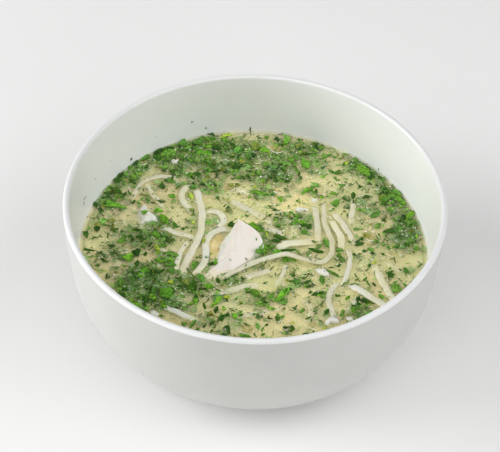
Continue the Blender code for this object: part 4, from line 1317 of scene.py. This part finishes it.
class Herbs:
    """The chopped herbs: leaves and threads that float, and those that sank."""

    def __init__(self, level, edge, surface):
        self.level = level
        self.edge = edge
        self.surface = surface
        self.rng = random.Random(5)
        self.floating, self.threads, self.sunk = Greens(11), Greens(17), Greens(23)

    def over(self, x, y, rise):
        """A place in metres, from millimetres and a rise over the broth's level."""
        return Vector((x * MM, y * MM, self.level + rise * MM))

    def place_large(self):
        """The larger leaves, threads and fronds, one by one."""
        for tone, leaves in LEAVES.items():
            for x, y, length, width, turn, kind in leaves:
                length, width = length * LEAF_SCALE, width * LEAF_SCALE
                if tone == "grey":
                    self.sunk.leaf(self.over(x, y, -LEAF_DEPTH), length, width, turn, tone, kind,
                                   0.1, 0.6)
                else:
                    place = self.over(x, y, self.surface.height(x, y) + LEAF_RISE)
                    self.floating.leaf(place, length, width, turn, tone, kind)
        x, y, rise, length, width, turn = EDGE_LEAF
        self.floating.leaf(self.over(x, y, rise), length, width, turn, "mid", "lobed")
        for x0, y0, x1, y1, bow in DILL:
            start, end = (self.over(x, y, self.surface.height(x, y) + DILL_RISE)
                          for x, y in ((x0, y0), (x1, y1)))
            tone = self.rng.choice(("dark", "dark", "olive"))
            self.threads.thread(start, end, bow, DILL_THREAD, tone, 0.1)
        for x, y, size, count, turn in FRONDS:
            self.threads.frond(self.over(x, y, FROND_RISE), size, count, turn)

    def tuft(self, x, y):
        """Four short threads that meet at a point."""
        rng = self.rng
        a = rng.uniform(0, math.tau)
        base = self.over(x, y, rng.uniform(-0.2, 0.2))
        for turn in (a - 0.7, a, a + 0.6, a + 3):
            way = toward(turn, rng.uniform(-0.1, 0.25))
            self.threads.thread(base, base + way * rng.uniform(0.7, 2.2) * MM,
                                rng.uniform(-0.3, 0.3), rng.uniform(0.3, 0.45),
                                rng.choice(("dark", "dark", "mid", "grey")), count=3)

    def scatter_leaves(self):
        """Cut leaves on the open broth, or tufts where the herbs are mostly dill."""
        rng = self.rng
        for x, y in scatter(rng, LOOSE_LEAVES, self.edge):
            length = min(LONGEST_LEAF, max(SHORTEST_LEAF, rng.lognormvariate(0.8, 0.5)))
            kind = rng.choice(KINDS if length > 2 else ("chip", "chip", "strip"))
            tone = rng.choice(("mid", "mid", "mid", "dark", "dark", "bright", "olive", "soft"))
            width = length * (rng.uniform(0.25, 0.4) if kind == "strip" else rng.uniform(0.5, 0.9))
            if rng.random() < 0.75 * feathery(x, y):
                self.tuft(x, y)
                continue
            is_open = self.surface.open_around(x, y, length * 0.4)
            if is_open or (length < 2 and rng.random() < 0.15):
                rise = self.surface.height(x, y) + rng.uniform(-0.1, 0.2)
                self.floating.leaf(self.over(x, y, rise), length, width, rng.uniform(0, 360),
                                   tone, kind, 0.3)

    def scatter_crumbs(self):
        """Crumbs of leaf about a millimetre long."""
        rng = self.rng
        for x, y in scatter(rng, CRUMBS, self.edge):
            if self.surface.height(x, y) < CRUMB_HEIGHT:
                length = rng.uniform(0.5, 1.2)
                self.threads.leaf(self.over(x, y, rng.uniform(-0.05, 0.15)), length,
                                  length * rng.uniform(0.4, 0.8), rng.uniform(0, 360),
                                  rng.choice(("dark", "dark", "mid", "olive", "lime")), "chip", 0.4)

    def scatter_threads(self):
        """Fine threads on the broth, and a few short ones on the noodles and chicken."""
        rng = self.rng
        crowded = scatter(rng, FINE_THREADS, self.edge)
        for x, y in crowded + scatter(rng, STRAY_THREADS, self.edge):
            high = self.surface.height(x, y)
            length = 0.5 + 2.4 * rng.random() ** 2
            a = rng.uniform(0, math.tau)
            if high > OPEN_HEIGHT and (rng.random() < 0.93 or length > 1.6):
                continue
            start = self.over(x, y, high + rng.uniform(-0.25, 0.15))
            end = start + toward(a, rng.uniform(-0.15, 0.15)) * length * MM
            self.threads.thread(start, end, rng.uniform(-0.4, 0.4), rng.uniform(0.25, 0.5),
                                rng.choice(("dark", "dark", "olive", "mid", "soft")), count=3)

    def scatter_sunk(self):
        """Leaves and threads down to two millimetres under the surface."""
        rng = self.rng
        for x, y in scatter(rng, SUNK_LEAVES, self.edge):
            length = rng.uniform(1.6, 5.5)
            kind = rng.choice(KINDS)
            tone = rng.choice(("soft", "grey", "mid", "grey", "dark"))
            if rng.random() < feathery(x, y):
                tone = "mist"
            self.sunk.leaf(self.over(x, y, -rng.uniform(0.15, 1.9)), length,
                           length * rng.uniform(0.5, 0.9), rng.uniform(0, 360), tone, kind,
                           0.5, plain=True)
        for x, y in scatter(rng, SUNK_THREADS, self.edge):
            length = rng.uniform(1.0, 3.6)
            a = rng.uniform(0, math.tau)
            start = self.over(x, y, -rng.uniform(0.3, 2.0))
            end = start + toward(a, rng.uniform(-0.2, 0.2)) * length * MM
            self.sunk.thread(start, end, rng.uniform(-0.4, 0.4), SUNK_THREAD,
                             rng.choice(("dark", "mid")))

    def make(self):
        self.place_large()
        self.scatter_leaves()
        self.scatter_crumbs()
        self.scatter_threads()
        self.scatter_sunk()
        return [self.floating.add("parsley_floating", herb_material("parsley")),
                self.threads.add("dill_floating", herb_material("dill")),
                self.sunk.add("herbs_sunk", herb_material("herb_sunk", 0.6))]


def make_wall_bits(level, radius, height):
    """Flakes that stuck to the wall over the broth."""
    bits = Greens(41)
    for direction, rise, length, width, turn, tone in WALL_BITS:
        z = level + rise * MM
        r = inner_radius(z, radius, height)
        slope = math.atan2(inner_radius(z + MM, radius, height)
                           - inner_radius(z - MM, radius, height), 2 * MM)
        a = math.radians(direction)
        inward = toward(a) * -math.cos(slope) + UP * math.sin(slope)
        place = toward(a) * r + UP * z + inward * 0.12 * MM
        start = len(bits.verts)
        bits.leaf(Vector(), length, width, turn, tone, "chip", 0.0, 0.3)
        frame = Matrix.Translation(place) @ UP.rotation_difference(inward).to_matrix().to_4x4()
        for i in range(start, len(bits.verts)):
            bits.verts[i] = frame @ bits.verts[i]
    return bits.add("wall_bits", herb_material("herb_dried", 0.6))


# ---------------------------------------------------------------- fat and bubbles

def dome(x, y, radius, rise, sink, level, rings=4, segments=20):
    """A low closed cap with a steep rounded edge. Sizes in millimetres."""
    x, y, radius, rise = (value * MM for value in (x, y, radius, rise))
    z = level - sink * MM
    verts = [(x, y, z + rise)]
    for k in range(1, rings + 1):
        a = math.pi / 2 * k / rings
        verts += circle(x, y, z + rise * math.cos(a), radius * math.sin(a) ** 0.6, segments)
    return verts, stacked(rings, segments, flip=True, pointed=True)


def arc(x, y, radius, middle, spread, half, level):
    """A thin part of a droplet's rim, tapered at both ends, which is painted bright as a highlight.
    Sizes in millimetres.
    """
    sides, count = 6, 12
    verts = []
    for i in range(count + 1):
        a = middle + spread * (i / count - 0.5)
        thick = half * (0.25 + 0.75 * math.sin(math.pi * i / count))
        for k in range(sides):
            b = math.tau * k / sides
            r = radius + thick * math.cos(b)
            verts.append(((x + r * math.cos(a)) * MM, (y + r * math.sin(a)) * MM,
                          level + (0.08 + thick * math.sin(b)) * MM))
    return verts, stacked(count + 1, sides, flip=True)


def make_fat(level, edge, surface):
    """Rounds of fat, froth painted near white as glints, and rims of drops painted bright as
    highlights.
    """
    rng = random.Random(77)
    rounds = [dome(x, y, radius, FAT_RISE, FAT_SINK, level, 5, 40) for x, y, radius in FAT]
    for x, y in scatter(rng, SMALL_FAT, edge):
        radius = rng.uniform(0.5, 1.2)
        if surface.height(x, y) < FAT_HEIGHT:
            rounds.append(dome(x, y, radius, SMALL_FAT_RISE, FAT_SINK, level))
    fat = add_mesh("fat_rounds", *joined(rounds), cloudy_material(
        "fat", 300, 2, (0.3, 186, 170, 84), (0.7, 204, 190, 112),
        Roughness=0.1, IOR=1.8, Alpha=0.3))
    fat.visible_shadow = False
    # Near-white painted glint, shared by the froth domes and the rims of drops
    bright = cloudy_material("painted_glint", 400, 2, (0.3, 232, 228, 190), (0.6, 252, 251, 240),
                             Roughness=0.15, IOR=1.45)
    froth = []
    for x, y in scatter(rng, FROTH, edge):
        radius = min(0.55, rng.lognormvariate(-1.7, 0.45))
        if surface.height(x, y) < FAT_HEIGHT:
            froth.append(dome(x, y, radius, radius * FROTH_RISE, FROTH_SINK, level, 3, 8))
    bubbles = add_mesh("bubbles", *joined(froth), bright)
    # Rims of the fat rounds and of small drops, painted bright as highlights
    rims = []
    for x, y, radius in FAT:
        turn = rng.uniform(-2.4, -0.6)
        rims.append(arc(x, y, radius * 0.97, turn, rng.uniform(1.4, 2.6), FAT_RIM, level))
    for x, y in scatter(rng, DROP_RIMS, edge):
        radius, turn = rng.uniform(0.5, 1.3), rng.uniform(-2.8, -0.3)
        if surface.open_around(x, y, radius):
            rims.append(arc(x, y, radius, turn, rng.uniform(1.0, 2.4), DROP_RIM, level))
    return [fat, bubbles, add_mesh("painted_rim_highlights", *joined(rims), bright)]


# ---------------------------------------------------------------- stage

def add_area(name, direction, elevation, power):
    """A large square softbox aimed at the soup. Angles are in degrees."""
    a, e = math.radians(direction), math.radians(elevation)
    away = Vector((math.cos(e) * math.cos(a), math.cos(e) * math.sin(a), math.sin(e)))
    light = bpy.data.lights.new(name, "AREA")
    light.size = LIGHT_SIZE
    light.energy = power
    lamp = bpy.data.objects.new(name, light)
    lamp.location = LIGHT_TARGET + away * LIGHT_DISTANCE
    lamp.rotation_mode = "QUATERNION"
    lamp.rotation_quaternion = (-away).to_track_quat("-Z", "Y")
    bpy.context.scene.collection.objects.link(lamp)


def make_stage():
    """A pale floor, six softboxes and a faint even light from all round."""
    half = FLOOR_SIZE / 2
    corners = [(-half, -half, 0), (half, -half, 0), (half, half, 0), (-half, half, 0)]
    pale = cloudy_material("floor", 4, 2, (0.3, 248, 248, 247), (0.7, 251, 251, 250),
                           Roughness=0.8)
    floor = add_mesh("floor", corners, [(0, 1, 2, 3)], pale, smooth=False)
    for light in LIGHTS:
        add_area(*light)
    world = bpy.data.worlds.new("studio")
    world.use_nodes = True
    background = world.node_tree.nodes["Background"]
    background.inputs["Color"].default_value = FAINT_LIGHT
    background.inputs["Strength"].default_value = FAINT_STRENGTH
    bpy.context.scene.world = world
    bpy.context.scene.view_settings.view_transform = "Standard"


def make_camera():
    """A camera that looks down on the soup from in front."""
    elevation = math.radians(VIEW_ELEVATION)
    back = Vector((0, -math.cos(elevation), math.sin(elevation)))
    data = bpy.data.cameras.new("camera")
    data.sensor_width = 36.0
    data.lens = LENS
    data.clip_start = 0.01
    camera = bpy.data.objects.new("camera", data)
    camera.location = VIEW_TARGET + back * VIEW_DISTANCE
    camera.rotation_mode = "QUATERNION"
    roll = Quaternion((0, 0, 1), math.radians(VIEW_ROLL))
    camera.rotation_quaternion = (-back).to_track_quat("-Z", "Y") @ roll
    bpy.context.scene.collection.objects.link(camera)
    bpy.context.scene.camera = camera


def main():
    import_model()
    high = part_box("bowl")[1]
    radius, height = high.x, high.z
    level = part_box("broth")[1].z
    edge = inner_radius(level, radius, height) / MM
    # The second noodle colour is the pale one painted darker as shade
    pale, shaded_noodle = noodle_material("noodle", PALE), noodle_material("noodle_painted_shade", SHADED_NOODLE)
    torn = torn_material_with_painted_light()
    skin = cloudy_material("skin", 240, 4, (0.3, 222, 196, 126), (0.5, 238, 214, 150),
                           (0.7, 248, 232, 182), Roughness=0.4, IOR=1.4)
    solid = make_strands(level, pale, shaded_noodle, torn)
    solid += make_chicken(level, chicken_material(), torn)
    solid.append(make_skin(level, skin))
    surface = Surface(solid, level)
    pieces = [make_bowl(radius, height)] + make_broth(level, radius, height) + solid
    pieces += Herbs(level, edge, surface).make()
    pieces.append(make_wall_bits(level, radius, height))
    pieces += make_fat(level, edge, surface)
    for piece in pieces:
        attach(piece, "root")
    make_stage()
    make_camera()


main()
